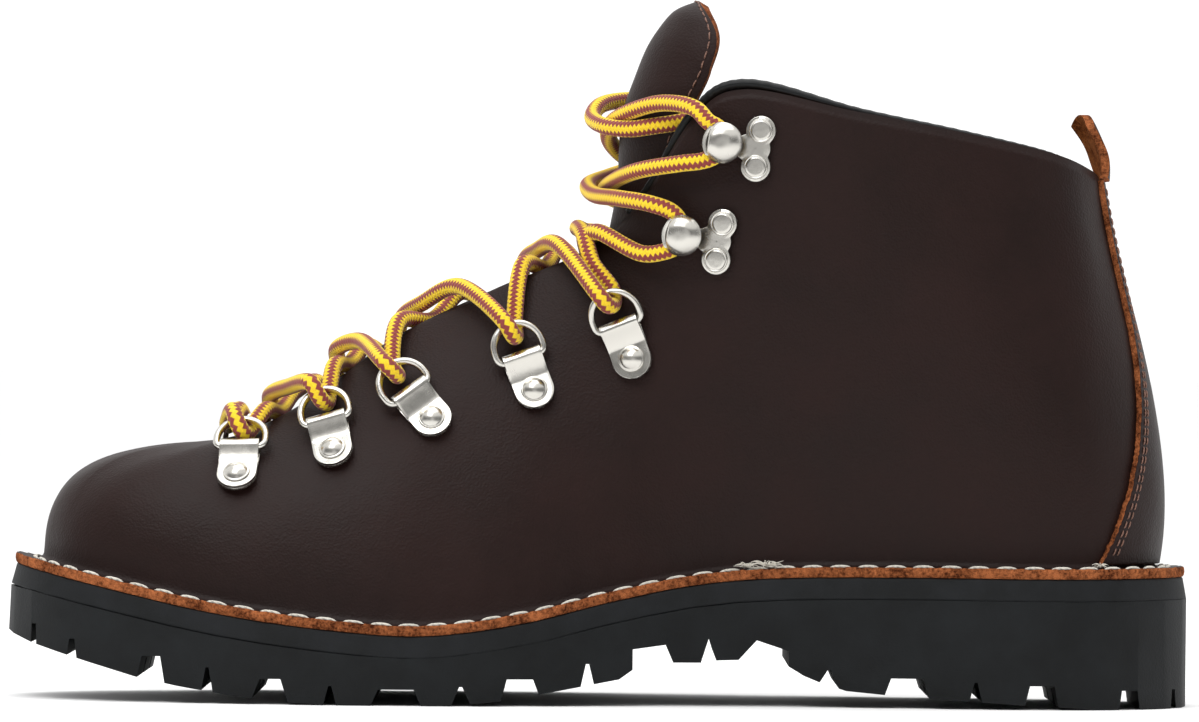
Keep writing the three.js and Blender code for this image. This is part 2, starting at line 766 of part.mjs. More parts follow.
// Stations (u, v) where the wall passes the side-view point (x, z) on one side (-1 medial, 1 lateral).
function findOnWall(x, z, side) {
  const target = [x * GRADE.x, z * GRADE.z];
  let best = { u: 6, v: 0.8, miss: Infinity };
  let [du, dv] = [3, 0.3];
  for (let pass = 0; pass < 9; pass += 1) {
    const around = best;
    for (let i = -4; i <= 4; i += 1) {
      for (let j = -4; j <= 4; j += 1) {
        const u = THREE.MathUtils.clamp(around.u + (i * du) / 2, 0.5, LAST_STATION);
        const v = THREE.MathUtils.clamp(around.v + (j * dv) / 4, 0.2, 1);
        const point = wall(side < 0 ? u : TURN - u, v);
        const miss = Math.hypot(point.x - target[0], point.z - target[1]);
        if (miss < best.miss) best = { u, v, miss };
      }
    }
    du /= 2.2;
    dv /= 2.2;
  }
  const u = side < 0 ? best.u : TURN - best.u;
  return { point: wall(u, best.v), normal: wallNormal(u, best.v) };
}

// A group on the wall whose +X runs from one side-view point to another and whose +Z points out.
function wallFrame(from, to, side) {
  const a = findOnWall(...from, side);
  const b = findOnWall(...to, side);
  const middle = findOnWall((from[0] + to[0]) / 2, (from[1] + to[1]) / 2, side);
  const outward = middle.normal;
  const ahead = b.point.clone().sub(a.point);
  ahead.addScaledVector(outward, -ahead.dot(outward)).normalize();
  const across = outward.clone().cross(ahead);
  const frame = new THREE.Group();
  frame.matrix.makeBasis(ahead, across, outward).setPosition(middle.point);
  frame.matrix.decompose(frame.position, frame.quaternion, frame.scale);
  return frame;
}

const EYE_BORE = RING_WIRE / 2 + 1.5 * CLEARANCE;
const EYE_OUTER = EYE_BORE + CLIP_EYE_WALL;
const STRAP_GAP = 0.8; // between strap and leather

// The clip in its own frame: the bar's axis is Y through the origin, the strap runs to -X.
function clipGeometry() {
  const bottom = -EYE_OUTER;
  const outline = new THREE.Shape();
  const top = bottom + CLIP_THICKNESS;
  const meet = Math.asin(top / EYE_OUTER);
  outline.moveTo(0, bottom);
  outline.absarc(0, 0, EYE_OUTER, -Math.PI / 2, Math.PI - meet, false);
  outline.lineTo(-CLIP_LENGTH, top);
  outline.lineTo(-CLIP_LENGTH, bottom);
  outline.closePath();
  outline.holes.push(new THREE.Path().absarc(0, 0, EYE_BORE, 0, 2 * Math.PI, true));
  const strap = new THREE.ExtrudeGeometry(outline, { depth: CLIP_WIDTH, curveSegments: 7, bevelEnabled: false });
  strap.rotateX(Math.PI / 2);
  strap.translate(0, CLIP_WIDTH / 2, 0);
  const half = CLIP_WIDTH / 2;
  const plan = new THREE.Shape();
  plan.moveTo(EYE_OUTER + 1, -half);
  plan.lineTo(EYE_OUTER + 1, half);
  plan.lineTo(half - CLIP_LENGTH, half);
  plan.absarc(half - CLIP_LENGTH, 0, half, Math.PI / 2, (3 * Math.PI) / 2, false);
  plan.closePath();
  const bore = new THREE.Path().absarc(RIVET_FROM_END - CLIP_LENGTH, 0, RIVET_SHANK / 2 + CLEARANCE, 0, 2 * Math.PI);
  plan.holes.push(bore);
  const cutter = new THREE.ExtrudeGeometry(plan, { depth: 10, curveSegments: 5, bevelEnabled: false });
  cutter.translate(0, 0, -5);
  return fromSolid(toSolid(strap).intersect(toSolid(cutter)));
}

// D-shaped wire: a straight bar on Y through the origin and an arch to +X.
function ringGeometry() {
  const half = (RING_WIDTH - RING_WIRE) / 2;
  const reach = RING_HEIGHT - RING_WIRE / 2;
  const corner = half - CLIP_WIDTH / 2 + 0.7; // the bar is straight through the clip
  const path = new THREE.CurvePath();
  const flat = (x, y) => vec(x, y, 0);
  const spring = reach - half;
  path.add(new THREE.LineCurve3(flat(0, corner - half), flat(0, half - corner)));
  path.add(new THREE.QuadraticBezierCurve3(flat(0, half - corner), flat(0, half), flat(spring, half)));
  const arc = Array.from({ length: 9 }, (_, i) => {
    const angle = Math.PI / 2 - (i * Math.PI) / 8;
    return flat(spring + half * Math.cos(angle), half * Math.sin(angle));
  });
  path.add(new THREE.CatmullRomCurve3(arc));
  path.add(new THREE.QuadraticBezierCurve3(flat(spring, -half), flat(0, -half), flat(0, corner - half)));
  return new THREE.TubeGeometry(path, 16, RING_WIRE / 2, 5, true);
}

// A domed rivet on the axis Z: shank below z = 0, head above.
function rivetGeometry(head, dome, shankRadius, shankDepth) {
  const r = head / 2;
  const profile = [
    [0, -shankDepth],
    [shankRadius, -shankDepth],
    [shankRadius, 0],
    [r, 0],
    [r, 0.35],
    [r * 0.6, 0.35 + dome * 0.8],
    [0, 0.35 + dome],
  ];
  const lathe = new THREE.LatheGeometry(profile.map(([x, y]) => new THREE.Vector2(x, y)), 8);
  return lathe.rotateX(Math.PI / 2);
}

function buildRing(spec, number, side) {
  const name = side < 0 ? "medial" : "lateral";
  const frame = wallFrame(spec.rivet, spec.bar, side);
  boot.add(frame);
  const clip = new THREE.Group();
  const half = CLIP_LENGTH / 2 - RIVET_FROM_END / 2;
  clip.position.set(half, 0, STRAP_GAP + EYE_OUTER);
  frame.add(clip);
  add(`ring_clip_${name}_${number}`, clipGeometry(), "nickel", clip);
  const hinge = new THREE.Group();
  hinge.rotation.y = degrees(spec.lean);
  clip.add(hinge);
  add(`d_ring_${name}_${number}`, ringGeometry(), "nickel", hinge);
  const shank = CLIP_THICKNESS + CLEARANCE;
  const rivet = rivetGeometry(RIVET_HEAD, RIVET_DOME, RIVET_SHANK / 2, shank);
  const seat = add(`ring_rivet_${name}_${number}`, rivet, "nickel", clip);
  seat.position.set(RIVET_FROM_END - CLIP_LENGTH, 0, CLIP_THICKNESS - EYE_OUTER + CLEARANCE);
}

// A speed hook in its own frame: hood centre over the origin, rivets at -X, leather below. The strip runs
// forward under the lace, turns up as a stem and ends in a domed hood whose free edge looks back.
function hookGeometry() {
  const rivets = [HOOK_SPREAD / 2, -HOOK_SPREAD / 2];
  const disc = (radius, y, height) =>
    toSolid(
      new THREE.CylinderGeometry(radius, radius, height, 12)
        .rotateX(Math.PI / 2)
        .translate(-HOOK_REACH, y, HOOK_PLATE / 2),
    );
  const box = (x0, x1, width, height) =>
    toSolid(new THREE.BoxGeometry(x1 - x0, width, height).translate((x0 + x1) / 2, 0, height / 2));
  const steps = 4;
  const arc = (radius, height) =>
    Array.from({ length: steps + 1 }, (_, i) => {
      const angle = (i * Math.PI) / (2 * steps);
      return new THREE.Vector2(radius * Math.cos(angle), height * Math.sin(angle));
    });
  const profile = [...arc(HOOD_RADIUS - HOOD_WALL, HOOD_CROWN - HOOD_WALL).reverse(), ...arc(HOOD_RADIUS, HOOD_CROWN)];
  profile[0].x = 0;
  profile.at(-1).x = 0;
  const hood = new THREE.LatheGeometry(profile, 12).rotateX(Math.PI / 2).translate(0, 0, HOOD_RIM);
  const stem = [HOOD_RADIUS - 2 * HOOD_WALL, HOOD_RADIUS - HOOD_WALL / 2];
  let solid = box(-HOOK_REACH - HOOK_LOBE * 0.4, -HOOK_REACH + HOOK_LOBE * 0.8, HOOK_SPREAD, HOOK_PLATE);
  solid = solid.add(box(-HOOK_REACH, stem[1], HOOK_NECK, HOOK_PLATE));
  solid = solid.add(box(...stem, HOOK_NECK, HOOD_RIM + HOOD_WALL)).add(toSolid(hood));
  rivets.forEach((y) => {
    solid = solid.add(disc(HOOK_LOBE, y, HOOK_PLATE));
  });
  rivets.forEach((y) => {
    solid = solid.subtract(disc(RIVET_SHANK / 2 + CLEARANCE, y, 3 * HOOK_PLATE));
  });
  return fromSolid(solid);
}

function buildHook(spec, number, side) {
  const name = side < 0 ? "medial" : "lateral";
  const frame = wallFrame(spec.rivets, spec.hood, side);
  boot.add(frame);
  const hook = new THREE.Group();
  hook.position.set(HOOK_REACH / 2, 0, 0.5);
  frame.add(hook);
  add(`speed_hook_${name}_${number}`, hookGeometry(), "nickel", hook);
  [HOOK_SPREAD / 2, -HOOK_SPREAD / 2].forEach((y, i) => {
    const rivet = rivetGeometry(HOOK_RIVET_HEAD, 0.5, RIVET_SHANK / 2, HOOK_PLATE + 0.2);
    const place = (y > 0) === side > 0 ? "low" : "high";
    const seat = add(`hook_rivet_${name}_${number}_${place}`, rivet, "nickel", hook);
    seat.position.set(-HOOK_REACH, y, HOOK_PLATE + CLEARANCE);
  });
}

function buildHardware() {
  [-1, 1].forEach((side) => {
    RINGS.forEach((spec, i) => buildRing(spec, i + 1, side));
    HOOKS.forEach((spec, i) => buildHook(spec, i + 1, side));
  });
}

// ---------------------------------------------------------------------------------------------
// Lace
// ---------------------------------------------------------------------------------------------

// The lace's centre line past each ring on the medial side: over the wire, round it and out underneath.
const LACE_AT_RINGS = [
  [[-94.8, -22.4, 77.2], [-93.8, -26.3, 73.9], [-92.8, -25, 70.3], [-91.8, -22.1, 69.5], [-90.8, -19.7, 70.8]],
  [[-74.8, -27.3, 82.8], [-73.2, -27.5, 79.9], [-71.9, -25.5, 78.1], [-70.9, -22.8, 77.8], [-70.6, -20.7, 79.8]],
  [[-55.7, -31.4, 88.3], [-53.5, -30.7, 86.2], [-52.6, -28.2, 85.1], [-52.6, -25.3, 85.2], [-53.8, -23.6, 87.2]],
  [[-24.3, -31.2, 98.9], [-22.8, -30.5, 96.4], [-22.1, -27.9, 95.5], [-21.9, -25.1, 96], [-22.2, -23.8, 98.6]],
  [[0, -33.3, 106.2], [1.8, -32.3, 104.1], [3.1, -29.7, 103.9], [3.6, -27.1, 105.1], [3.2, -26.3, 108]],
];
// Round each hook's stem, from below to above.
const LACE_AT_HOOKS = [
  [[11.1, -32.4, 117.4], [16.3, -34.4, 117.9], [19.4, -35.1, 119.2], [20.9, -35.6, 122.4], [20.5, -35.5, 125.9],
    [18.3, -35, 128.4], [13.2, -33.4, 130.3]],
  [[20.9, -36.3, 140.9], [26.3, -37.6, 141.6], [29.5, -37.9, 143], [31, -37.9, 146.3], [30.5, -37.7, 149.9],
    [27.7, -37.4, 151.7], [24.5, -35.6, 155]],
];
// Across the tongue from a medial ring or hook to the next one up on the lateral side, for the strand
// that lies against the tongue and for the one that lies over it.
const LACE_UNDER = [
  [[-87.4, -12.2, 75.6], [-84.2, 0, 75.2], [-80.6, 12.2, 80.4]],
  [[-69.4, -12.2, 87.4], [-65.8, 0, 88], [-61.8, 12.2, 92.8]],
  [[-52.6, -12.6, 99.2], [-44, 0, 99.8], [-36.3, 12.6, 107.4]],
  [[-20.3, -13.4, 114.4], [-14.5, 0, 113.8], [-10.3, 15, 119.2]],
  [[-1.8, -23.2, 114.6], [-4.2, -17.2, 121.4], [-3, -9, 121.6], [-1.6, 0, 120.2], [-2.9, 15, 122.5], [-0.2, 22, 123]],
  [[5.6, -24.8, 131.8], [1, -4, 134], [3.4, 12, 136.6], [10, 26.8, 139.2]],
];
const LACE_OVER = [
  [[-87.4, -12.2, 76], [-86.3, 0, 79.8], [-81.4, 12.2, 81.8]],
  [[-69.4, -12.2, 87.8], [-68.8, 0, 92.2], [-62.6, 12.2, 94]],
  [[-52.6, -12.6, 99.6], [-46.4, 0, 104.4], [-37, 12.6, 108.6]],
  [[-20.3, -13.4, 114.8], [-16.4, 0, 118.6], [-11.2, 15, 119.8]],
  [[-1.8, -23.2, 114.6], [-4.2, -17.2, 122], [-6, 0, 124.4], [-3.8, 15, 123.8], [-0.6, 22, 123.4]],
  [[5.2, -24.8, 131.8], [-1.6, -11, 133], [-3.4, 0, 135.6], [1.2, 13, 138], [9, 26.8, 140.4]],
];
// The two ends, each tucked between tongue and collar on the side opposite its last hook.
const LACE_END_UNDER = [[16, -26, 156.8], [7, -14.6, 154.6], [2.4, -4, 151.6], [2.2, 6, 147.6], [7, 15.6, 143.2],
  [13, 20, 141.4]];
const LACE_END_OVER = [[16, -26, 158.4], [5.4, -16, 158.6], [-0.6, -7, 156.8], [-2.4, 0, 153.6], [1, 10.4, 151],
  [7.6, 17, 150.2], [14.2, 20.8, 151], [19.6, 22.2, 151.8]];
const LATERAL_SHIFT = [-0.7, 0, 0, 0.5, 1.4, 0.7, 0.2]; // the outer side stands further out at some stops
const LACE_BAR = [-97.6, 0, 71.4]; // middle of the straight length that joins the lowest rings
const LACE_BAR_SIDE = [-97, -13, 73];

// One half of the lace, from the bar up: it changes sides after every ring and hook.
function laceHalf(firstSide, overAt, lastEnd) {
  const points = [];
  let side = firstSide;
  const push = (rows, out) => rows.forEach(([x, y, z]) => points.push(vec(x, -side * (y - out), z)));
  push([LACE_BAR_SIDE], 0);
  const stops = [...LACE_AT_RINGS, ...LACE_AT_HOOKS];
  stops.forEach((stop, i) => {
    push(stop, side > 0 ? LATERAL_SHIFT[i] : 0);
    if (i + 1 === stops.length) return;
    push((overAt.includes(i) ? LACE_OVER : LACE_UNDER)[i], 0);
    side = -side;
  });
  push(lastEnd, 0);
  return points;
}

// A curve sampled at its own points, so that tight bends get as many steps as they need.
class HeldCurve extends THREE.CatmullRomCurve3 {
  getPointAt(t, target) {
    return this.getPoint(t, target);
  }
  getTangentAt(t, target) {
    return this.getTangent(t, target);
  }
  getSpacedPoints(steps) {
    return this.getPoints(steps);
  }
}

function lace() {
  const medial = laceHalf(-1, [1, 3, 4], LACE_END_UNDER);
  const lateral = laceHalf(1, [0, 2, 5], LACE_END_OVER);
  const points = [...lateral.reverse(), vec(...LACE_BAR), ...medial];
  const path = new HeldCurve(points);
  const section = new THREE.Shape().absarc(0, 0, LACE / 2, 0, 2 * Math.PI, false);
  const steps = points.length - 1;
  return new THREE.ExtrudeGeometry(section, { steps, curveSegments: 4, bevelEnabled: false, extrudePath: path });
}

buildSole();
buildUpper();
buildTongue();
buildHardware();
add("lace", lace(), "lace");

// The origin is the middle of the footprint, on the ground.
boot.updateMatrixWorld(true);
const extent = new THREE.Box3();
boot.traverse((piece) => {
  if (piece.isMesh && piece.name !== "lace") extent.union(new THREE.Box3().setFromObject(piece, true));
});
const middle = extent.getCenter(vec(0, 0, 0));
boot.position.set(-middle.x, -middle.y, -extent.min.z);

export default boot;
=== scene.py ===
"""A stitchdown leather mountaineering boot, dressed round its fixed CAD frame.

The boot's skin is worked out with the same last, station by station, as the solids it stands for. Lengths in
this file are millimetres until a mesh is written; Blender's own objects are in metres.
"""

import logging
import math
from dataclasses import dataclass, field
from enum import Enum
from typing import Any, Sequence

import bpy
import numpy as np
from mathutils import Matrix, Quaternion, Vector


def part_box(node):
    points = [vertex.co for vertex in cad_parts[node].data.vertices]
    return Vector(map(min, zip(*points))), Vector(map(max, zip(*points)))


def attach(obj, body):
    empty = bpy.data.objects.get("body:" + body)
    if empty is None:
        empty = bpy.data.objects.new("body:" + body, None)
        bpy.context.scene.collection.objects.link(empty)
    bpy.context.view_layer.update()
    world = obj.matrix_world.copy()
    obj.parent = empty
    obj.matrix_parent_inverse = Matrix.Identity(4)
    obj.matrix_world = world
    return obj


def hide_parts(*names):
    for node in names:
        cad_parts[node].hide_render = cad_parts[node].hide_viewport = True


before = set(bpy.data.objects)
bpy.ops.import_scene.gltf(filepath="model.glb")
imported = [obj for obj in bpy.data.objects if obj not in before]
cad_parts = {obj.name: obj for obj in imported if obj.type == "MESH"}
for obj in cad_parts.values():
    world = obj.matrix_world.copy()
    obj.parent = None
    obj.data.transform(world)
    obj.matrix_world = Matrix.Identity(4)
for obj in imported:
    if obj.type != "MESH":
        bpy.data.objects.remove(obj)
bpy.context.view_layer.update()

LOG = logging.getLogger("boot")
MM = 0.001
Array = np.ndarray
Point = tuple[float, float, float]
Point2 = tuple[float, float]


class Side(Enum):
    """The two sides of the boot: the sign of Y."""

    MEDIAL = -1
    LATERAL = 1

    @property
    def label(self) -> str:
        """The side's name as the CAD nodes spell it."""
        return self.name.lower()


class Body(Enum):
    """The rigid bodies that pieces ride on."""

    BOOT = "boot"
    TONGUE = "tongue"
    TAB = "heel_tab"


# --------------------------------------------------------------------------------------------------
# Numbers and curves
# --------------------------------------------------------------------------------------------------


def catmull(rows: Array, t: Array, closed: bool = False) -> Array:
    """Reads a Catmull-Rom curve through rows, one row to each whole number of t.

    Between rows b and c, with a before and d after, at fraction f: b + f/2 ((c - a) + f ((2a - 5b + 4c - d)
    + f (3(b - c) + d - a))).

    Args:
        rows: the rows the curve passes through.
        t: where to read it; any shape.
        closed: whether the last row is followed by the first.

    Returns:
        One row for each value of t.
    """
    t = np.asarray(t, dtype=float)
    whole = np.floor(t).astype(int)
    f = (t - whole)[..., None]
    count = len(rows)

    def pick(index: Array) -> Array:
        """The rows at index, wrapped or held at the ends."""
        return rows[index % count] if closed else rows[np.clip(index, 0, count - 1)]

    a, b, c, d = (pick(whole + k) for k in (-1, 0, 1, 2))
    return b + 0.5 * f * (c - a + f * (2 * a - 5 * b + 4 * c - d + f * (3 * (b - c) + d - a)))


def circle(sides: int) -> Array:
    """Angles of equal steps round a circle."""
    return np.linspace(0, 2 * math.pi, sides, endpoint=False)


def unit(v: Array) -> Array:
    """Vectors scaled to length one along the last axis."""
    return v / np.maximum(np.linalg.norm(v, axis=-1, keepdims=True), 1e-9)


def smooth(x: Array, low: float, high: float) -> Array:
    """An S-shaped step: 0 below low, 1 above high, 3t^2 - 2t^3 between."""
    t = np.clip((np.asarray(x, dtype=float) - low) / (high - low), 0, 1)
    return t * t * (3 - 2 * t)


def hermite(p: Array, q: Array, m: Array, n: Array, f: Array) -> Array:
    """A cubic from p to q with end slopes m and n: p + f (m + f (3 (q - p) - 2m - n + f (2 (p - q) + m + n)))."""
    return p + f * (m + f * (3 * (q - p) - 2 * m - n + f * (2 * (p - q) + m + n)))


def lengths(path: Array) -> Array:
    """The distance along a polyline to each of its points."""
    return np.concatenate([[0], np.cumsum(np.linalg.norm(np.diff(path, axis=0), axis=1))])


def read(rows: Array, run: Array, at: Array) -> Array:
    """Rows given at distances run, read in straight lines at other distances."""
    return np.stack([np.interp(at, run, rows[:, k]) for k in range(3)], axis=1)


def even(path: Array, step: float) -> Array:
    """Points of a polyline read again at equal distances of about step along it."""
    run = lengths(path)
    return read(path, run, np.linspace(0, run[-1], max(int(round(run[-1] / step)), 2) + 1))


def tangents(path: Array, closed: bool = False) -> Array:
    """Unit directions along a polyline: the chord between the two neighbours of each point."""
    if closed:
        return unit(np.roll(path, -1, axis=0) - np.roll(path, 1, axis=0))
    return unit(np.gradient(path, axis=0))


def carried(path: Array, closed: bool = False, start: Array | None = None) -> tuple[Array, Array]:
    """Two normals to a path that turn as little as they can along it.

    Each pair is the one before, turned by the rotation that takes the old direction to the new. On a closed
    path the twist left over is shared out along it.

    Args:
        path: points along the line.
        closed: whether the last point is followed by the first.
        start: the wanted first normal; None takes the one nearest +Z.

    Returns:
        The two normals at each point.
    """
    along = tangents(path, closed)
    first = np.array([0, 0, 1.0]) if start is None else np.asarray(start, dtype=float)
    if abs(first @ along[0]) > 0.9:
        first = np.array([0, 1.0, 0])
    normal = np.empty_like(path)
    normal[0] = unit(first - (first @ along[0]) * along[0])
    for i in range(1, len(path)):
        n = normal[i - 1]
        n = n - (n @ along[i]) * along[i]
        normal[i] = n / np.linalg.norm(n)
    side = np.cross(along, normal)
    if closed:
        last = normal[-1] - (normal[-1] @ along[0]) * along[0]
        twist = math.atan2(last @ side[0], last @ normal[0])
        angle = -twist * np.arange(len(path))[:, None] / len(path)
        normal, side = (
            normal * np.cos(angle) + side * np.sin(angle),
            side * np.cos(angle) - normal * np.sin(angle),
        )
    return normal, side


# --------------------------------------------------------------------------------------------------
# Meshes
# --------------------------------------------------------------------------------------------------


@dataclass
class Surface:
    """A mesh as arrays: points in millimetres, faces as rows of four point numbers, a slot for each face."""

    points: Array
    faces: Array
    slots: Array
    uv: Array | None = None

    @staticmethod
    def merged(parts: Sequence["Surface"]) -> "Surface":
        """Several surfaces as one, each one's faces counting on from the points before it.

        Args:
            parts: the surfaces, in order.

        Returns:
            One surface, without UVs.
        """
        starts = np.cumsum([0] + [len(part.points) for part in parts])
        return Surface(
            np.concatenate([part.points for part in parts]),
            np.concatenate([part.faces + start for part, start in zip(parts, starts)]),
            np.concatenate([part.slots for part in parts]),
        )


def quads(rows: int, cols: int, wrap_rows: bool = False, wrap_cols: bool = False) -> Array:
    """Faces of a grid of points numbered row by row.

    Args:
        rows: rows of points.
        cols: points in a row.
        wrap_rows: whether the last row is followed by the first.
        wrap_cols: whether each row closes on itself.

    Returns:
        Four point numbers for each face.
    """
    i = np.arange(rows if wrap_rows else rows - 1)[:, None]
    j = np.arange(cols if wrap_cols else cols - 1)[None, :]
    a = i * cols + j
    b = i * cols + (j + 1) % cols
    c = ((i + 1) % rows) * cols + (j + 1) % cols
    d = ((i + 1) % rows) * cols + j
    return np.stack([a, b, c, d], axis=-1).reshape(-1, 4)


def loft(grid: Array, wrap_rows: bool = False, ends: Array | None = None) -> Surface:
    """The surface through rows of points that each close on themselves.

    Args:
        grid: rows of points.
        wrap_rows: whether the last row is followed by the first.
        ends: two points that close the first row and the last with fans.

    Returns:
        The surface, all in slot 0.
    """
    rows, cols = grid.shape[:2]
    faces = quads(rows, cols, wrap_rows, wrap_cols=True)
    points = grid.reshape(-1, 3)
    if ends is not None:
        k, total = np.arange(cols), rows * cols
        after, base = (k + 1) % cols, total - cols
        first = np.stack([after, k, np.full(cols, total), after], axis=1)
        last = np.stack([base + k, base + after, np.full(cols, total + 1), base + k], axis=1)
        faces = np.concatenate([faces, first, last])
        points = np.concatenate([points, ends])
    return Surface(points, faces, np.zeros(len(faces), dtype=int))


def tube(
    path: Array, radius: Array | float, sides: int, closed: bool = False, start: Array | None = None
) -> Surface:
    """A round rod along a path: each ring is centre + radius (cos a normal + sin a side).

    Args:
        path: points along the middle.
        radius: one radius, or one for each point.
        sides: points round the rod.
        closed: whether it joins its own start; an open rod's ends are drawn to a blunt point.
        start: the wanted first normal.

    Returns:
        The closed surface.
    """
    normal, side = carried(path, closed, start)
    angle = circle(sides)
    r = np.broadcast_to(np.reshape(radius, (-1, 1)), (len(path), 1))
    ring = np.cos(angle)[None, :, None] * normal[:, None] + np.sin(angle)[None, :, None] * side[:, None]
    rings = path[:, None] + r[..., None] * ring
    if closed:
        return loft(rings, wrap_rows=True)
    along = tangents(path)
    blunt = 0.4
    return loft(rings, ends=np.stack([path[0] - along[0] * r[0] * blunt, path[-1] + along[-1] * r[-1] * blunt]))


def shell(outer: Array, inner: Array, slots: tuple[int, int, int] = (0, 0, 0), wrap: bool = False) -> Surface:
    """A sheet with a wall between two equal grids, closed along its borders.

    Args:
        outer: grid of points on the outer face.
        inner: the same grid on the inner face.
        slots: material slots of the outer face, the inner face and the cut edge.
        wrap: whether the grid's rows close on themselves.

    Returns:
        The closed surface.
    """
    rows, cols = outer.shape[:2]
    total = rows * cols
    face = quads(rows, cols, wrap_rows=wrap)
    number = np.arange(total).reshape(rows, cols)
    if wrap:
        loops = [number[:, 0], number[::-1, -1]]
    else:
        loops = [np.concatenate([number[:, 0], number[-1, 1:], number[-2::-1, -1], number[0, -2:0:-1]])]
    rims = [np.stack([a, np.roll(a, -1), np.roll(a, -1) + total, a + total], axis=1) for a in loops]
    rim = np.concatenate(rims)
    faces = np.concatenate([face, face[:, ::-1] + total, rim])
    tags = np.concatenate([np.full(len(face), slots[0]), np.full(len(face), slots[1]), np.full(len(rim), slots[2])])
    return Surface(np.concatenate([outer.reshape(-1, 3), inner.reshape(-1, 3)]), faces, tags)


def ribbon(path: Array, thick: float, half: Array, across: Array, bow: Array | float = 0) -> Surface:
    """A strap along a path in the XZ plane: its faces stand half its thickness either side of the path.

    Args:
        path: X and Z of the middle.
        thick: the strap's thickness.
        half: half its width at each point.
        across: where to read it between its edges, from -1 to 1.
        bow: how much its edges draw back in X, as a share of the distance from the middle, squared.

    Returns:
        The closed surface.
    """
    along = np.gradient(path, axis=0)
    along /= np.linalg.norm(along, axis=1, keepdims=True)
    off = np.stack([-along[:, 1], along[:, 0]], axis=1) * thick / 2
    y = half[:, None] * across
    faces = []
    for line in (path + off, path - off):
        faces.append(np.stack([line[:, :1] - y**2 * bow, y, line[:, 1:] + 0 * y], axis=-1))
    return shell(*faces)


def lathe(profile: Sequence[tuple[float, float]], sides: int = 40) -> Surface:
    """A solid of revolution about Z: profile points (radius, height) turned through a full circle.

    Args:
        profile: points from the inside of the foot to the middle of the top.
        sides: points round it.

    Returns:
        The closed surface.
    """
    rows = np.array(profile, dtype=float)
    angle = circle(sides)
    r, z = np.maximum(rows[:, 0], 1e-4)[:, None], rows[:, 1][:, None]
    return loft(np.stack([r * np.cos(angle), r * np.sin(angle), z + 0 * angle], axis=-1))


def write_mesh(name: str, surface: Surface, finishes: Sequence["Finish"], shift: Array) -> bpy.types.Object:
    """Writes a surface as an object at the origin, faces outwards, shaded smooth.

    Args:
        name: the piece's name.
        surface: points in millimetres.
        finishes: one for each material slot.
        shift: millimetres added to every point.

    Returns:
        The object, linked into the scene.
    """
    mesh = bpy.data.meshes.new(name)
    points = (surface.points + shift) * MM
    faces = surface.faces
    a, b, c, d = (points[faces[:, k]] for k in range(4))
    if ((np.cross(b - a, c - a) + np.cross(c - a, d - a)) * a).sum() < 0:  # the volume's sign
        faces = faces[:, ::-1]
    mesh.from_pydata(points, [], [list(dict.fromkeys(row)) for row in faces.tolist()])
    mesh.polygons.foreach_set("material_index", surface.slots.astype(np.int32))
    mesh.polygons.foreach_set("use_smooth", np.ones(len(mesh.polygons), dtype=bool))
    if surface.uv is not None:
        layer = mesh.uv_layers.new(name="UVMap")
        index = np.empty(len(mesh.loops), dtype=np.int32)
        mesh.loops.foreach_get("vertex_index", index)
        layer.data.foreach_set("uv", surface.uv[index].astype(np.float32).ravel())
    obj = bpy.data.objects.new(name, mesh)
    bpy.context.scene.collection.objects.link(obj)
    for finish in finishes:
        mesh.materials.append(finish.material())
    return obj


def bevelled(obj: bpy.types.Object, width: float, segments: int = 2, angle: float = 35) -> bpy.types.Object:
    """Rounds an object's sharp edges by width millimetres and keeps the rest smooth.

    Args:
        obj: the object.
        width: how wide the rounding is.
        segments: faces across the rounding.
        angle: folds sharper than this many degrees are rounded.

    Returns:
        The same object.
    """
    bevel = obj.modifiers.new("round", "BEVEL")
    bevel.width = width * MM
    bevel.segments = segments
    bevel.limit_method = "ANGLE"
    bevel.angle_limit = math.radians(angle)
    bevel.harden_normals = False
    return obj


# --------------------------------------------------------------------------------------------------
# Materials
# --------------------------------------------------------------------------------------------------


def linear(hex_colour: str) -> tuple[float, float, float, float]:
    """An sRGB hex colour as linear red, green, blue and alpha."""
    parts = [int(hex_colour[i : i + 2], 16) / 255 for i in (1, 3, 5)]
    r, g, b = (p / 12.92 if p <= 0.04045 else ((p + 0.055) / 1.055) ** 2.4 for p in parts)
    return (r, g, b, 1.0)


def add_node(tree: bpy.types.NodeTree, kind: str, settings: dict[str, Any], inputs: dict[Any, Any]) -> bpy.types.Node:
    """Adds one node.

    Args:
        tree: the material's node tree.
        kind: Blender's name for the node type, without "ShaderNode".
        settings: attributes set on the node.
        inputs: socket name or number to a value, or to the output socket that feeds it.

    Returns:
        The node.
    """
    node = tree.nodes.new("ShaderNode" + kind)
    for name, value in settings.items():
        setattr(node, name, value)
    for name, value in inputs.items():
        if isinstance(value, bpy.types.NodeSocket):
            tree.links.new(value, node.inputs[name])
        else:
            node.inputs[name].default_value = value
    return node


def ramp(tree: bpy.types.NodeTree, factor: bpy.types.NodeSocket, stops: Sequence[tuple[float, Any]]) -> Any:
    """A colour ramp.

    Args:
        tree: the material's node tree.
        factor: what it reads.
        stops: places from 0 to 1, each with a grey level or a hex colour.

    Returns:
        Its colour output.
    """
    node = add_node(tree, "ValToRGB", {}, {0: factor})
    elements = node.color_ramp.elements
    while len(elements) < len(stops):
        elements.new(1.0)
    for element, (place, colour) in zip(elements, stops):
        element.position = place
        element.color = linear(colour) if isinstance(colour, str) else (colour, colour, colour, 1)
    return node.outputs[0]


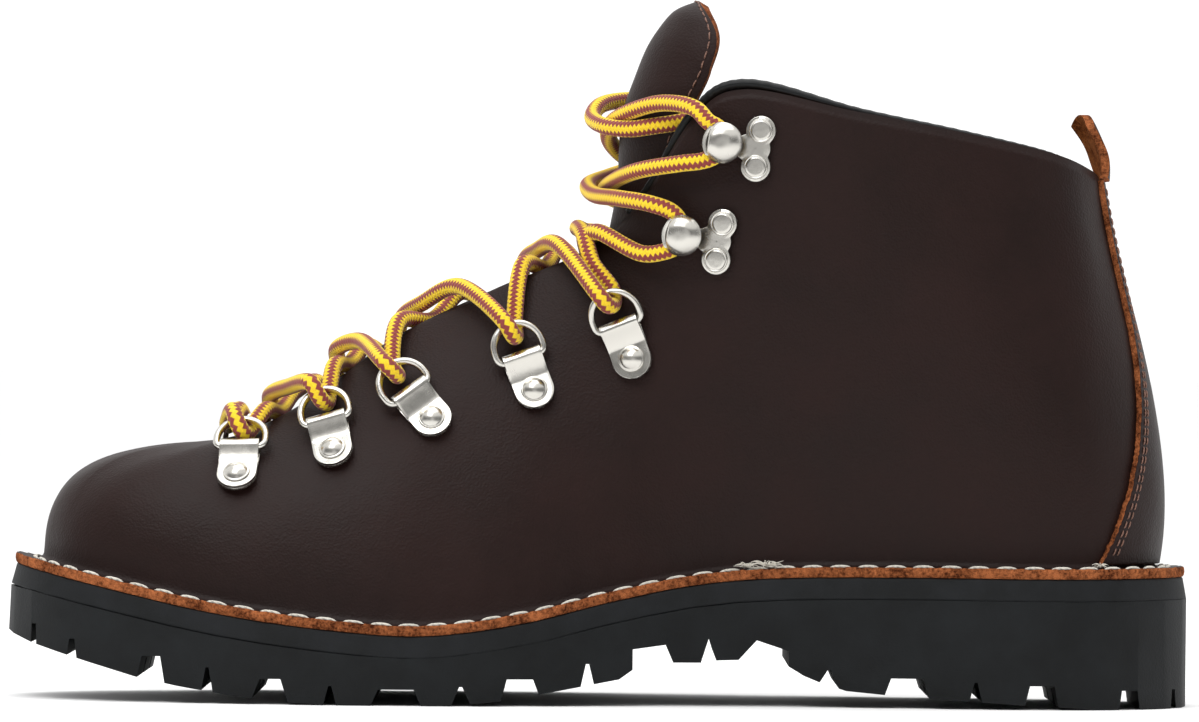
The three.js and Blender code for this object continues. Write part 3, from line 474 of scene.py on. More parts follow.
def remap(tree: bpy.types.NodeTree, value: Any, low: Point2, high: Point2, soft: bool = False) -> Any:
    """A value carried from one range to another, in a straight line or by an S-shaped step.

    Args:
        tree: the node tree.
        value: what it reads.
        low: a value and what it becomes.
        high: a higher value and what that becomes.
        soft: whether the step is S-shaped.

    Returns:
        Its output.
    """
    kind = {"interpolation_type": "SMOOTHSTEP"} if soft else {}
    limits = {"From Min": low[0], "From Max": high[0], "To Min": low[1], "To Max": high[1]}
    return add_node(tree, "MapRange", kind, {"Value": value, **limits}).outputs[0]


def multiplied(tree: bpy.types.NodeTree, colour: Any, shade: Any, share: float) -> Any:
    """A colour darkened by a share of a grey shade."""
    kind = {"data_type": "RGBA", "blend_type": "MULTIPLY"}
    return add_node(tree, "Mix", kind, {0: share, 6: colour, 7: shade}).outputs[2]


@dataclass(frozen=True)
class Finish:
    """A surface finish: its name and the plain values every one has."""

    name: str = "finish"
    base: str = "#808080"
    roughness: float = 0.5
    metallic: float = 0.0

    def material(self) -> bpy.types.Material:
        """The finish's material, made once and shared."""
        found = bpy.data.materials.get(self.name)
        if found:
            return found
        made = bpy.data.materials.new(self.name)
        made.use_nodes = True
        tree = made.node_tree
        tree.nodes.clear()
        plain = {"Base Color": linear(self.base), "Roughness": self.roughness, "Metallic": self.metallic}
        shader = add_node(tree, "BsdfPrincipled", {}, plain)
        add_node(tree, "OutputMaterial", {}, {"Surface": shader.outputs[0]})
        self.dress(tree, shader)
        made.diffuse_color = linear(self.base)
        return made

    def dress(self, tree: bpy.types.NodeTree, shader: bpy.types.Node) -> None:
        """Adds the finish's own nodes; a plain one has none."""

    @staticmethod
    def place(tree: bpy.types.NodeTree) -> bpy.types.NodeSocket:
        """Object coordinates, in metres."""
        return add_node(tree, "TexCoord", {}, {}).outputs["Object"]

    @staticmethod
    def noise(tree: bpy.types.NodeTree, place: Any, size: float, detail: float = 2, rough: float = 0.5) -> Any:
        """Cloudy noise whose blobs are about size millimetres across."""
        settings = {"Vector": place, "Scale": 1 / (size * MM), "Detail": detail, "Roughness": rough}
        return add_node(tree, "TexNoise", {}, settings).outputs["Fac"]

    @staticmethod
    def bump(tree: bpy.types.NodeTree, height: Any, depth: float, below: Any = None) -> Any:
        """A bump of depth millimetres from a 0 to 1 height, over another bump if below is given.

        Args:
            tree: the material's node tree.
            height: a 0 to 1 value.
            depth: the highest point's height, in millimetres.
            below: another bump's output.

        Returns:
            The normal it gives.
        """
        node = add_node(tree, "Bump", {}, {"Height": height, "Strength": 1.0, "Distance": depth * MM})
        if below is not None:
            tree.links.new(below, node.inputs["Normal"])
        return node.outputs[0]


@dataclass(frozen=True)
class GrainLeather(Finish):
    """Oiled full-grain cowhide: tight pores under wax, slow mottling of colour and gloss."""

    mottle: str = "#3b302f"
    pore: float = 0.55  # mm between pores
    pore_depth: float = 0.035
    crease_depth: float = 0.25
    specular: float = 0.16

    def dress(self, tree: bpy.types.NodeTree, shader: bpy.types.Node) -> None:
        """Mottled colour, uneven gloss, and pores over long soft creases.

        Args:
            tree: the material's node tree.
            shader: its Principled node.
        """
        shader.inputs["Specular IOR Level"].default_value = self.specular
        place = self.place(tree)
        cloud = self.noise(tree, place, 28, 3)
        fine = self.noise(tree, place, 2.2, 3, 0.6)
        mix = add_node(tree, "Math", {"operation": "MULTIPLY_ADD"}, {0: fine, 1: 0.35, 2: cloud})
        colour = ramp(tree, mix.outputs[0], [(0.35, self.base), (1.0, self.mottle)])
        tree.links.new(colour, shader.inputs["Base Color"])
        gloss = remap(tree, mix.outputs[0], (0.3, self.roughness - 0.05), (1.0, self.roughness + 0.08))
        tree.links.new(gloss, shader.inputs["Roughness"])
        cells = {"Vector": place, "Scale": 1 / (self.pore * MM), "Smoothness": 0.6}
        pores = add_node(tree, "TexVoronoi", {"feature": "SMOOTH_F1"}, cells).outputs["Distance"]
        soft = self.noise(tree, place, 11, 2)
        creases = self.bump(tree, soft, self.crease_depth)
        skin = self.bump(tree, pores, self.pore_depth, creases)
        tree.links.new(skin, shader.inputs["Normal"])


@dataclass(frozen=True)
class RawLeather(Finish):
    """Cut edge or flesh side of vegetable-tanned hide: matt, fibrous, rust brown."""

    dark: str = "#7c3a1d"
    fibre: float = 0.45  # mm, length of the fibre tufts
    depth: float = 0.3
    specular: float = 0.05

    def dress(self, tree: bpy.types.NodeTree, shader: bpy.types.Node) -> None:
        """Speckled colour and a nap of short fibres; the colour is darker where the nap's bump is low, painted shade
        in its hollows, over a real mottle.

        Args:
            tree: the material's node tree.
            shader: its Principled node.
        """
        place = self.place(tree)
        tuft = self.noise(tree, place, self.fibre * 1.6, 4, 0.75)
        patch = self.noise(tree, place, 5, 2)
        mix = add_node(tree, "Math", {"operation": "MULTIPLY_ADD"}, {0: patch, 1: 0.6, 2: tuft})
        # painted shade: tuft is also the bump's height, so the dark colour falls in the nap's hollows; patch adds the
        # hide's real mottle
        colour = ramp(tree, mix.outputs[0], [(0.62, self.dark), (0.98, self.base)])
        tree.links.new(colour, shader.inputs["Base Color"])
        shader.inputs["Specular IOR Level"].default_value = self.specular
        tree.links.new(self.bump(tree, tuft, self.depth), shader.inputs["Normal"])


@dataclass(frozen=True)
class MouldedRubber(Finish):
    """Moulded carbon-black rubber: dusty matt skin with a faint mould grain."""

    dust: str = "#3a3d40"
    grain_depth: float = 0.12
    specular: float = 0.22

    def dress(self, tree: bpy.types.NodeTree, shader: bpy.types.Node) -> None:
        """Dust in soft patches and a fine mould texture.

        Args:
            tree: the material's node tree.
            shader: its Principled node.
        """
        shader.inputs["Specular IOR Level"].default_value = self.specular
        place = self.place(tree)
        patch = self.noise(tree, place, 14, 4, 0.65)
        colour = ramp(tree, patch, [(0.35, self.base), (0.8, self.dust)])
        tree.links.new(colour, shader.inputs["Base Color"])
        grain = self.noise(tree, place, 0.7, 3, 0.6)
        tree.links.new(self.bump(tree, grain, self.grain_depth), shader.inputs["Normal"])


@dataclass(frozen=True)
class NickelPlate(Finish):
    """Nickel-plated pressed steel, tumbled to a soft polish: bright, with faint scuffs."""

    def dress(self, tree: bpy.types.NodeTree, shader: bpy.types.Node) -> None:
        """Uneven gloss and shallow dents from handling.

        Args:
            tree: the material's node tree.
            shader: its Principled node.
        """
        place = self.place(tree)
        haze = self.noise(tree, place, 3, 4, 0.6)
        gloss = remap(tree, haze, (0.0, self.roughness - 0.08), (1.0, self.roughness + 0.12))
        tree.links.new(gloss, shader.inputs["Roughness"])
        dents = self.noise(tree, place, 2.4, 1)
        tree.links.new(self.bump(tree, dents, 0.04), shader.inputs["Normal"])


@dataclass(frozen=True)
class SpunThread(Finish):
    """Waxed spun thread: fine twisted plies seen as slanting ridges."""

    ply: float = 0.5  # mm between plies

    def dress(self, tree: bpy.types.NodeTree, shader: bpy.types.Node) -> None:
        """Slanting ridges and a little soiling.

        Args:
            tree: the material's node tree.
            shader: its Principled node.
        """
        place = self.place(tree)
        turned = add_node(tree, "Mapping", {}, {"Vector": place, "Rotation": (0.5, 0.6, 0.7)})
        bands = {"Vector": turned.outputs[0], "Scale": 1 / (self.ply * MM * 6.3), "Distortion": 1.5}
        wave = add_node(tree, "TexWave", {"wave_type": "BANDS"}, bands)
        soil = ramp(tree, self.noise(tree, place, 6, 3), [(0.3, 0.45), (0.6, 1.0)])
        tree.links.new(multiplied(tree, linear(self.base), soil, 0.35), shader.inputs["Base Color"])
        tree.links.new(self.bump(tree, wave.outputs["Fac"], 0.15), shader.inputs["Normal"])


@dataclass(frozen=True)
class BraidedCord(Finish):
    """Round braided boot lace in two colours: lengthwise stripes whose edges step with every pick."""

    second: str = "#7a3535"
    stripes: int = 4  # of each colour, round the cord
    pick: float = 1.25  # mm of length to one step of the braid

    def dress(self, tree: bpy.types.NodeTree, shader: bpy.types.Node) -> None:
        """Stripes by the angle round the cord, stepped along its length; picks as small pillows.

        Args:
            tree: the material's node tree.
            shader: its Principled node.
        """
        uv = add_node(tree, "UVMap", {"uv_map": "UVMap"}, {}).outputs[0]
        split = add_node(tree, "SeparateXYZ", {}, {0: uv})
        turn, length = split.outputs[0], split.outputs[1]
        lanes = 2 * self.stripes

        def math_node(operation: str, a: Any, b: Any = 0.0) -> Any:
            """One Math node's output."""
            return add_node(tree, "Math", {"operation": operation}, {0: a, 1: b}).outputs[0]

        picks = math_node("MULTIPLY", length, 1000 / self.pick)
        lane = math_node("MULTIPLY", turn, float(lanes))
        saw = math_node("PINGPONG", picks, 0.5)
        lean = math_node("MULTIPLY", math_node("SUBTRACT", saw, 0.25), 1.1)
        shifted = math_node("ADD", lane, lean)
        which = math_node("PINGPONG", shifted, 1.0)
        colour = ramp(tree, which, [(0.42, self.base), (0.58, self.second)])
        grain = ramp(tree, self.noise(tree, self.place(tree), 0.35, 2), [(0.3, 0.6), (0.7, 1.0)])
        tree.links.new(multiplied(tree, colour, grain, 0.5), shader.inputs["Base Color"])
        pillow_a = math_node("PINGPONG", math_node("ADD", lane, picks), 0.5)
        pillow_b = math_node("PINGPONG", math_node("SUBTRACT", lane, picks), 0.5)
        pillow = math_node("MULTIPLY", pillow_a, pillow_b)
        tree.links.new(self.bump(tree, pillow, 0.8), shader.inputs["Normal"])
        shader.inputs["Sheen Weight"].default_value = 0.15


# Nearly black brown with a soft waxy gloss, so that the big smooth panels read as oiled hide.
LEATHER = GrainLeather("oiled full-grain cowhide", "#180b08", 0.5, 0.0, "#22110e", 0.6, 0.09, 0.3)
# The one warm line round a dark boot: undyed fibres where the hide is cut, with painted shade darkening the hollows
# between them over a real mottle.
RAW_EDGE = RawLeather("raw cut edge of tanned hide", "#b46b41", 0.95, 0.0, "#431f0f", 0.55, 0.9)
# The same undyed fibres brushed flat on the hide's inner face, seen on the pull tab.
FLESH = RawLeather("rough-out flesh side of hide", "#b06a3a", 0.95, 0.0, "#6f3818", 0.7, 0.35)
# Thin and glossier than the upper, which sets the collar and gusset off as a separate black piece.
BINDING = GrainLeather("thin black binding leather", "#0f1011", 0.36, 0.0, "#17191a", 0.4, 0.03, 0.15)
# Soft and dull, so that the mouth of the boot falls away into the dark.
LINING = GrainLeather("soft black lining leather", "#121213", 0.6, 0.0, "#1a1a1b", 0.5, 0.03, 0.2)
# Dusty matt grey-black, which keeps the sole apart from the browner upper.
RUBBER = MouldedRubber("moulded carbon-black rubber", "#0d0f10", 0.7, 0.0, "#1a1c1f")
# A touch darker and smoother than the midsole's, as it comes out of the mould.
TREAD_RUBBER = MouldedRubber("moulded tread rubber", "#0b0d0e", 0.66, 0.0, "#16191b")
# The bright points that lead the eye up the lacing.
NICKEL = NickelPlate("nickel-plated pressed steel", "#c6c3bc", 0.22, 1.0)
# Dull grey strip under the arch, hidden when the boot is whole.
SPRING_STEEL = NickelPlate("blued spring steel strip", "#8d8f92", 0.38, 1.0)
# Off-white dashes that stand out on the raw edge.
WELT_THREAD = SpunThread("waxed white welt thread", "#ddd7cb", 0.75)
# Thin and dark enough to be seen only as a fine line near the panels' edges.
FINE_THREAD = SpunThread("brown nylon upper thread", "#7f5b4c", 0.6, 0.0, 0.3)
# The boot's one strong colour: saffron with maroon stripes that step with the braid.
LACE_BRAID = BraidedCord("yellow and maroon braided lace", "#f4cf1a", 0.8, 0.0, "#8a332e")
# Plain tan board, hidden under the footbed.
BOARD = RawLeather("pressed leatherboard", "#a3835c", 0.9, 0.0, "#7f6140", 0.8, 0.15)
# Dark grey cloth, all that is seen deep inside the boot.
FOAM = RawLeather("cloth-faced foam footbed", "#3c3c3e", 0.95, 0.0, "#2c2c2e", 0.6, 0.15)


# --------------------------------------------------------------------------------------------------
# The last
# --------------------------------------------------------------------------------------------------


@dataclass
class Last:
    """The last: a wall over the feather line, read by station u (round the boot) and height v (0 to 1)."""

    # Per station, toe to heel: feather x, medial y, lateral y, top edge x, y, z, first rise and bulge of the
    # wall, its reach and drop from the top edge, and the width of the turned-out flange.
    stations: tuple[tuple[float, ...], ...] = (
        (-145.2, -6, -6, -101, 0, 67.4, 27, 0.7, 27, 2, 7.4),
        (-140, -22, 10, -100.2, 4, 67.6, 27, 1.2, 26, 2, 7.1),
        (-127, -33.5, 23, -97.5, 7.8, 68.2, 27, 1.8, 21, 2, 6.6),
        (-105, -41, 34, -90, 10.3, 70.8, 27, 2, 15, 3, 6.1),
        (-78, -45.5, 42, -75, 11.2, 79.2, 29, 1, 12.5, 5, 6),
        (-50, -46.5, 46, -53, 11.6, 95.5, 34, -1, 11.5, 8, 6),
        (-22, -42.5, 47.5, -27, 12.2, 108.3, 38, -1.5, 10.5, 10, 6),
        (6, -34.5, 45.5, -4, 15, 118.4, 40, 1.5, 9, 15, 6),
        (30, -29.5, 42, 10.5, 22.5, 131.5, 42, 5, 8, 24, 6),
        (48, -28.5, 39.5, 23.5, 30, 152.5, 44, 7, 5, 32, 6),
        (64, -29, 37.5, 37, 33.5, 160.3, 46, 8, 3, 34, 6),
        (86, -30.5, 35.5, 66, 36.5, 153.6, 48, 8, 2, 36, 6),
        (108, -31, 33.5, 95, 34.5, 148, 46, 8, 2, 36, 6.1),
        (128, -27, 28.5, 118, 25, 143.2, 40, 7, 3, 34, 6.8),
        (141.5, -15, 16.5, 128.5, 12.5, 139.2, 36, 6.5, 4, 31, 7.8),
        (146.3, 0, 0, 131.2, 0, 137, 34, 6.3, 4.4, 29, 8.2),
    )
    # The flange's top face: places along the boot and their heights.
    welt_line: tuple[Point2, ...] = (
        (-156, 38.4), (-128, 32), (-100, 26), (-72, 22.1),
        (-45, 20.5), (-20, 23.7), (4, 29.6), (25, 33.9),
        (46, 35.9), (80, 36.5), (118, 36.4), (156, 36.8),
    )
    leather: float = 2.3
    flange: float = 2.5
    padding: float = 0.9
    stiffener: float = 1.4
    lining: float = 1.2
    clearance: float = 0.3
    rows: Array = field(init=False)
    shift: Array = field(init=False)
    heel: int = field(init=False)
    turn: int = field(init=False)

    def __post_init__(self) -> None:
        """Lays the stations once round the boot and finds where the CAD frame holds it."""
        self.heel = len(self.stations) - 1
        self.turn = 2 * self.heel
        rows = []
        for k in range(self.turn):
            lateral = k > self.heel
            x, medial, outer, top_x, top_y, *rest = self.stations[self.turn - k if lateral else k]
            rise, bulge = rest[1:3]
            if lateral:  # the outer side stands further out, so its wall bulges less
                bulge -= 0.7 * (abs(outer) - abs(medial))
            side = (outer, top_x, top_y) if lateral else (medial, top_x, -top_y)
            rows.append([x, *side, rest[0], rise, bulge, *rest[3:]])
        self.rows = np.array(rows, dtype=float)
        self.shift = np.zeros(3)
        coarse = self.flange_edge(np.arange(2 * self.turn) / 2, 0, 0)
        low, high = (np.array(corner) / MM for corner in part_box("upper_shell"))
        middle = (coarse.min(axis=0) + coarse.max(axis=0)) / 2
        self.shift = np.array([*((low + high) / 2 - middle)[:2], 0])

    def station(self, u: Array) -> Array:
        """The station row at u."""
        return catmull(self.rows, u, closed=True)

    def welt(self, x: Array) -> Array:
        """Height of the flange's top face at x: cubic between rows, slopes from each row's neighbours.

        Args:
            x: places along the boot.

        Returns:
            The heights.
        """
        xs, zs = np.array(self.welt_line, dtype=float).T
        x = np.clip(x, xs[0], xs[-1] - 1e-6)
        k = np.searchsorted(xs, x, side="right") - 1
        ahead, behind = np.minimum(np.arange(len(xs)) + 1, len(xs) - 1), np.maximum(np.arange(len(xs)) - 1, 0)
        slope = (zs[ahead] - zs[behind]) / (xs[ahead] - xs[behind])
        span = xs[k + 1] - xs[k]
        return hermite(zs[k], zs[k + 1], slope[k] * span, slope[k + 1] * span, (x - xs[k]) / span)

    def plan_normal(self, u: Array, column: int) -> Array:
        """Unit normal, seen from above, of the line held in two columns of the station rows."""
        a, b = self.station(u - 0.05), self.station(u + 0.05)
        flat = np.stack([b[..., column + 1] - a[..., column + 1], a[..., column] - b[..., column]], axis=-1)
        return np.concatenate([unit(flat), np.zeros(flat.shape[:-1] + (1,))], axis=-1)

    def feather(self, u: Array, outward: Array | float, height: Array | float = 0) -> Array:
        """A point beside the feather line at u, on the flange's top face plus height.

        Args:
            u: stations round the boot.
            outward: distance out from the line.
            height: distance over the flange.

        Returns:
            The points.
        """
        u = np.asarray(u, dtype=float)
        row = self.station(u)
        point = np.zeros(u.shape + (3,))
        point[..., :2] = row[..., :2]
        point = point + self.plan_normal(u, 0) * np.asarray(outward)[..., None]
        point[..., 2] = self.welt(point[..., 0]) + height
        return point

    def flange_width(self, u: Array) -> Array:
        """Width of the turned-out flange at u."""
        return self.station(np.asarray(u, dtype=float))[..., 9]

    def flange_edge(self, u: Array, extra: Array | float, height: Array | float) -> Array:
        """A point at the outer edge of the turned-out flange, moved out by extra and up by height."""
        return self.feather(u, self.flange_width(u) + extra, height)

    def wall(self, u: Array, v: Array) -> Array:
        """Outer face of the upper: a cubic Bezier from the feather line (v 0) to the top edge (v 1).

        Its second point stands over the foot by the station's rise and bulge, and its third stands off the top
        edge by its reach and drop.

        Args:
            u: stations round the boot.
            v: heights up the wall, from 0 to 1.

        Returns:
            The points.
        """
        u, v = np.broadcast_arrays(np.asarray(u, dtype=float), np.asarray(v, dtype=float))
        s = self.station(u)
        foot = np.stack([s[..., 0], s[..., 1], self.welt(s[..., 0])], axis=-1)
        top = s[..., 2:5]
        up = np.array([0, 0, 1.0])
        low = foot + self.plan_normal(u, 0) * s[..., 6:7] + up * s[..., 5:6]
        high = top + self.plan_normal(u, 2) * s[..., 7:8] - up * s[..., 8:9]
        t = v[..., None]
        return (1 - t) ** 3 * foot + 3 * t * (1 - t) ** 2 * low + 3 * t * t * (1 - t) * high + t**3 * top

    def normal(self, u: Array, v: Array) -> Array:
        """Outward unit normal of the wall: across stations crossed with up the wall.

        Args:
            u: stations round the boot.
            v: heights up the wall, from 0 to 1.

        Returns:
            The normals.
        """
        u, v = np.broadcast_arrays(np.asarray(u, dtype=float), np.asarray(v, dtype=float))
        step = 0.02
        across = self.wall(u + step, v) - self.wall(u - step, v)
        rise = self.wall(u, np.minimum(v + step, 1)) - self.wall(u, np.maximum(v - step, 0))
        return unit(np.cross(across, rise))

    def off(self, u: Array, v: Array, outward: Array | float) -> Array:
        """A point off the wall, outward along its normal."""
        return self.wall(u, v) + self.normal(u, v) * np.asarray(outward)[..., None]

    def lining_outer(self, u: Array) -> Array:
        """Depth of the lining's outer face under the wall.

        Args:
            u: stations round the boot.

        Returns:
            The depths.
        """
        wrapped = np.mod(u, self.turn)
        from_toe = np.where(wrapped > self.heel, self.turn - wrapped, wrapped)
        thick = np.maximum(np.clip(5 - from_toe, 0, 1), np.clip(from_toe - 11, 0, 1))
        room = self.padding + (self.stiffener + 3 * self.clearance - self.padding) * thick
        return self.leather + room

    def lining_inner(self, u: Array) -> Array:
        """Depth of the lining's inner face under the wall."""
        return self.lining_outer(u) + self.lining

    def locate(self, x: float, z: float, side: Side) -> tuple[Array, Array]:
        """Finds where the wall passes a side-view point, by halving a search grid round the nearest miss.

        Args:
            x: along the boot.
            z: height.
            side: which side of the boot.

        Returns:
            The point on the wall and the outward normal there.
        """
        u, v, du, dv = 6.0, 0.8, 3.0, 0.3
        steps = np.arange(-4, 5)
        for _ in range(9):
            us = np.clip(u + steps * du / 2, 0.5, self.heel)[:, None]
            vs = np.clip(v + steps * dv / 4, 0.2, 1)[None, :]
            real = us if side is Side.MEDIAL else self.turn - us
            points = self.wall(real, vs)
            miss = np.hypot(points[..., 0] - x, points[..., 2] - z)
            i, j = np.unravel_index(np.argmin(miss), miss.shape)
            u, v = float(us[i, 0]), float(vs[0, j])
            du, dv = du / 2.2, dv / 2.2
        real_u = u if side is Side.MEDIAL else self.turn - u
        return self.wall(real_u, v), self.normal(real_u, v)


@dataclass
class Seat:
    """A small frame on the boot's wall: origin and three axes as rows."""

    origin: Array
    axes: Array

    def place(self, surface: Surface) -> Surface:
        """A surface drawn in this frame, in the boot's."""
        return Surface(self.origin + surface.points @ self.axes, surface.faces, surface.slots, surface.uv)

    def moved(self, offset: Point) -> "Seat":
        """The same axes at an offset given in them."""
        return Seat(self.origin + np.array(offset) @ self.axes, self.axes)

    def leaned(self, angle: float) -> "Seat":
        """The frame turned about its own Y by angle degrees."""
        c, s = math.cos(math.radians(angle)), math.sin(math.radians(angle))
        turn = np.array([[c, 0, -s], [0, 1, 0], [s, 0, c]])
        return Seat(self.origin, turn @ self.axes)

    @staticmethod
    def between(last: Last, start: Point2, end: Point2, side: Side) -> "Seat":
        """A frame on the wall half way between two side-view points: X towards the second, Z outward.

        Args:
            last: the boot's last.
            start: side view place of the first point.
            end: side view place of the second.
            side: which side of the boot.

        Returns:
            The frame.
        """
        a, _ = last.locate(*start, side)
        b, _ = last.locate(*end, side)
        middle, outward = last.locate((start[0] + end[0]) / 2, (start[1] + end[1]) / 2, side)
        ahead = b - a
        ahead = unit(ahead - (ahead @ outward) * outward)
        return Seat(middle, np.stack([ahead, np.cross(outward, ahead), outward]))


class Maker:
    """Writes finished pieces: mesh, body, material slot and the CAD nodes they stand for."""

    def __init__(self, last: Last) -> None:
        """Keeps the last, whose shift places every mesh.

        Args:
            last: the boot's last.
        """
        self.last = last

    def piece(
        self,
        name: str,
        surface: Surface,
        finishes: Sequence[Finish],
        body: Body | str,
        slot: str,
        *stands_for: str,
    ) -> bpy.types.Object:
        """Writes one piece and reports it.

        Args:
            name: the piece's name.
            surface: its mesh, in millimetres.
            finishes: its materials, by slot number.
            body: the CAD body it rides on.
            slot: the record's material slot; not used.
            stands_for: CAD nodes it replaces.

        Returns:
            The object.
        """
        obj = write_mesh(name, surface, finishes, self.last.shift)
        rides = body.value if isinstance(body, Body) else body
        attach(obj, rides)
        if stands_for:
            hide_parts(*stands_for)
        LOG.info("%s: %d faces on %s", name, len(surface.faces), rides)
        return obj


def stitches(line: Array, up: Array, pitch: float, length: float, radius: float, sides: int = 6) -> Surface:
    """A row of stitches along a line: each a short thread that rises out of the leather and dips back in.

    Each is an arch: height = radius ((1 - (2t - 1)^4) (sunk + 0.6) - sunk), t from 0 to 1 along it.

    Args:
        line: points along the seam, on the leather's face.
        up: the way off the leather at each point.
        pitch: distance from stitch to stitch.
        length: length of thread that shows.
        radius: half the thread's thickness.
        sides: points round the thread.

    Returns:
        All the stitches as one surface.
    """
    run = lengths(line)
    count = int(run[-1] // pitch)
    start = (run[-1] - count * pitch) / 2 + (pitch - length) / 2
    t = np.linspace(0, 1, 8)
    sunk = 0.55  # of the radius, at both ends of a stitch
    arch = radius * ((1 - (2 * t - 1) ** 4) * (sunk + 0.6) - sunk)
    fat = radius * (0.72 + 0.28 * np.sin(math.pi * t))
    made = []
    for k in range(count):
        at = start + k * pitch + t * length
        rise = unit(read(up, run, at))
        made.append(tube(read(line, run, at) + rise * arch[:, None], fat, sides, start=rise[0]))
    return Surface.merged(made)


@dataclass(frozen=True)
class FineSeam:
    """The fine upper thread's stitch: pitch, length that shows, half the thread's thickness."""

    pitch: float
    length: float = 2.0
    radius: float = 0.24

    def along(self, line: Array, up: Array) -> Surface:
        """A row of them along a line, up being the way off the leather."""
        return stitches(line, up, self.pitch, self.length, self.radius, 5)


# --------------------------------------------------------------------------------------------------
# Upper
# --------------------------------------------------------------------------------------------------


@dataclass
class Upper:
    """The turned-out leather upper with its lining, seams, backstay, pull tab and rolled collar."""

    maker: Maker
    columns: int = 1080
    rows: int = 44
    wave_heights: tuple[float, float] = (0.16, 0.1)
    pucker: float = 0.1  # height of the ripple that each welt stitch pulls up
    fillet: float = 2.2  # radius at the foot of the wall, where it turns out
    backstay: float = 2.0
    overlay: float = 1.7  # how far the heel overlay stands off the wall
    stitch_inset: float = 2.1
    welt_pitch: float = 7.2
    welt_stitch: float = 5.6
    thread: float = 1.0
    fine: FineSeam = FineSeam(2.6)
    fine_rows: tuple[float, float] = (1.9, 3.3)  # in from the overlay's edge
    tab_height: float = 18.5
    tab_thickness: float = 2.3
    binding: float = 2.6
    collar_start: float = 7.75  # station where the rolled edge starts, behind the top hook
    fibres: int = 24
    fibre: float = 0.19  # half its thickness at the root
    frays: tuple[Point2, ...] = ((44.0, 1.0), (39.0, 0.8), (131.0, 0.5))  # place along the boot and spread

    def unevenness(self, u: Array, v: Array) -> Array:
        """How far the hide stands off the smooth last: long shallow waves, and puckers at the welt.

        A sum of sines of u and v at unrelated rates, and near v = 0 a ripple once per stitch.

        Args:
            u: stations round the boot.
            v: heights up the wall, from 0 to 1.

        Returns:
            The distances.
        """
        broad, narrow = self.wave_heights
        waves = broad * np.sin(2.3 * u + 5 * v) * np.sin(4.1 * v + 0.7 * u)
        waves = waves + narrow * np.sin(5.7 * u - 8 * v + 1)
        strip = np.exp(-((v - 0.05) ** 2) / 0.0012)
        puckers = self.pucker * strip * np.sin(2 * math.pi * 3.4 * u + 0.8 * np.sin(3 * u))
        turn = self.maker.last.turn
        from_toe = np.minimum(np.mod(u, turn), turn - np.mod(u, turn))
        fade = smooth(v, 0, 0.04) * (1 - smooth(v, 0.85, 1))
        return (waves + puckers * smooth(from_toe, 2.5, 4.5)) * fade

    def cover(self, u: Array) -> Array:
        """How far the hide's edge rises beside the rolled edge: nothing in front, most of it further back."""
        return 1.5 * smooth(-np.abs(np.mod(u, self.maker.last.turn) - self.maker.last.heel), -5.2, -3.6)

    def build(self) -> None:
        """Makes every piece of the upper."""
        self.hide()
        self.lining_skin()
        self.welt_seam()
        self.heel_overlay()
        self.pull_tab()
        self.collar_roll()

    def hide(self) -> None:
        """The upper leather: one closed band round the boot.

        Its section runs down the outside, round a quarter-circle fillet, out along the flange, back under it and
        up the inside. The flange's cut edge is a little ragged: sines at unrelated rates and a smoothed random draw.
        """
        last = self.maker.last
        u = np.linspace(0, last.turn, self.columns, endpoint=False)[:, None]
        v = np.linspace(1, 0, self.rows)[None, :] ** 1.15
        outer = last.off(u, v, self.unevenness(u, v))
        outer[..., 2] += self.cover(u) * smooth(v, 0.9, 1)
        inner = last.off(u, v[:, ::-1], -last.leather + 0 * v)
        flat = u[:, 0]
        width = last.flange_width(flat)
        fillet = [
            last.feather(flat, self.fillet * (1 - math.cos(a)) * 0.9 + 0.15, self.fillet * (1 - math.sin(a)))
            for a in np.linspace(0.15, 1, 6) * math.pi / 2
        ]
        tufts = np.random.default_rng(5).normal(0, 1, (2, self.columns))
        tufts = (np.roll(tufts, 1, axis=1) + 2 * tufts + np.roll(tufts, -1, axis=1)) / 4
        ragged = 0.14 * np.sin(9.1 * flat) + 0.1 * np.sin(23.7 * flat + 1.3) + 0.16 * tufts[0]
        lifted = 0.12 + 0.1 * tufts[1]
        lip = [last.feather(flat, width * f, lifted * smooth(f, 0.5, 0.9)) for f in (0.45, 0.7, 0.9)]
        edge = [
            last.flange_edge(flat, ragged * share + extra, height)
            for share, extra, height in (
                (1, -0.25, lifted),
                (1, 0, lifted - 0.45),
                (1.3, 0, -last.flange * 0.5),
                (0.6, 0, -last.flange + 0.35),
                (0.6, -0.3, -last.flange),
            )
        ]
        under = last.feather(flat, -last.leather, -last.flange)
        outside = [outer[:, j] for j in range(self.rows - 3)] + fillet + lip
        inside = [under] + [inner[:, j] for j in range(0, self.rows, 2)]
        surface = loft(np.stack(outside + edge + inside, axis=1), wrap_rows=True)
        column = np.tile(np.arange(len(outside + edge + inside)), self.columns)
        cut, flesh = len(outside), len(outside + edge) - 1
        surface.slots = np.where(column < cut, 0, np.where(column < flesh, 1, 2))
        finishes = [LEATHER, RAW_EDGE, FLESH]
        self.maker.piece("upper_leather", surface, finishes, Body.BOOT, "leather", "upper_shell")

    def lining_skin(self) -> None:
        """The lining, a closed band inside the upper."""
        last = self.maker.last
        u = np.linspace(0, last.turn, 240, endpoint=False)[:, None]
        v = np.linspace(0, 1, 30)[None, :]
        outer = last.off(u, v, -last.lining_outer(u) + 0 * v)
        inner = last.off(u, v, -last.lining_inner(u) + 0 * v)
        surface = shell(outer, inner, wrap=True)
        self.maker.piece("lining_leather", surface, [LINING], Body.BOOT, "lining_leather", "lining")

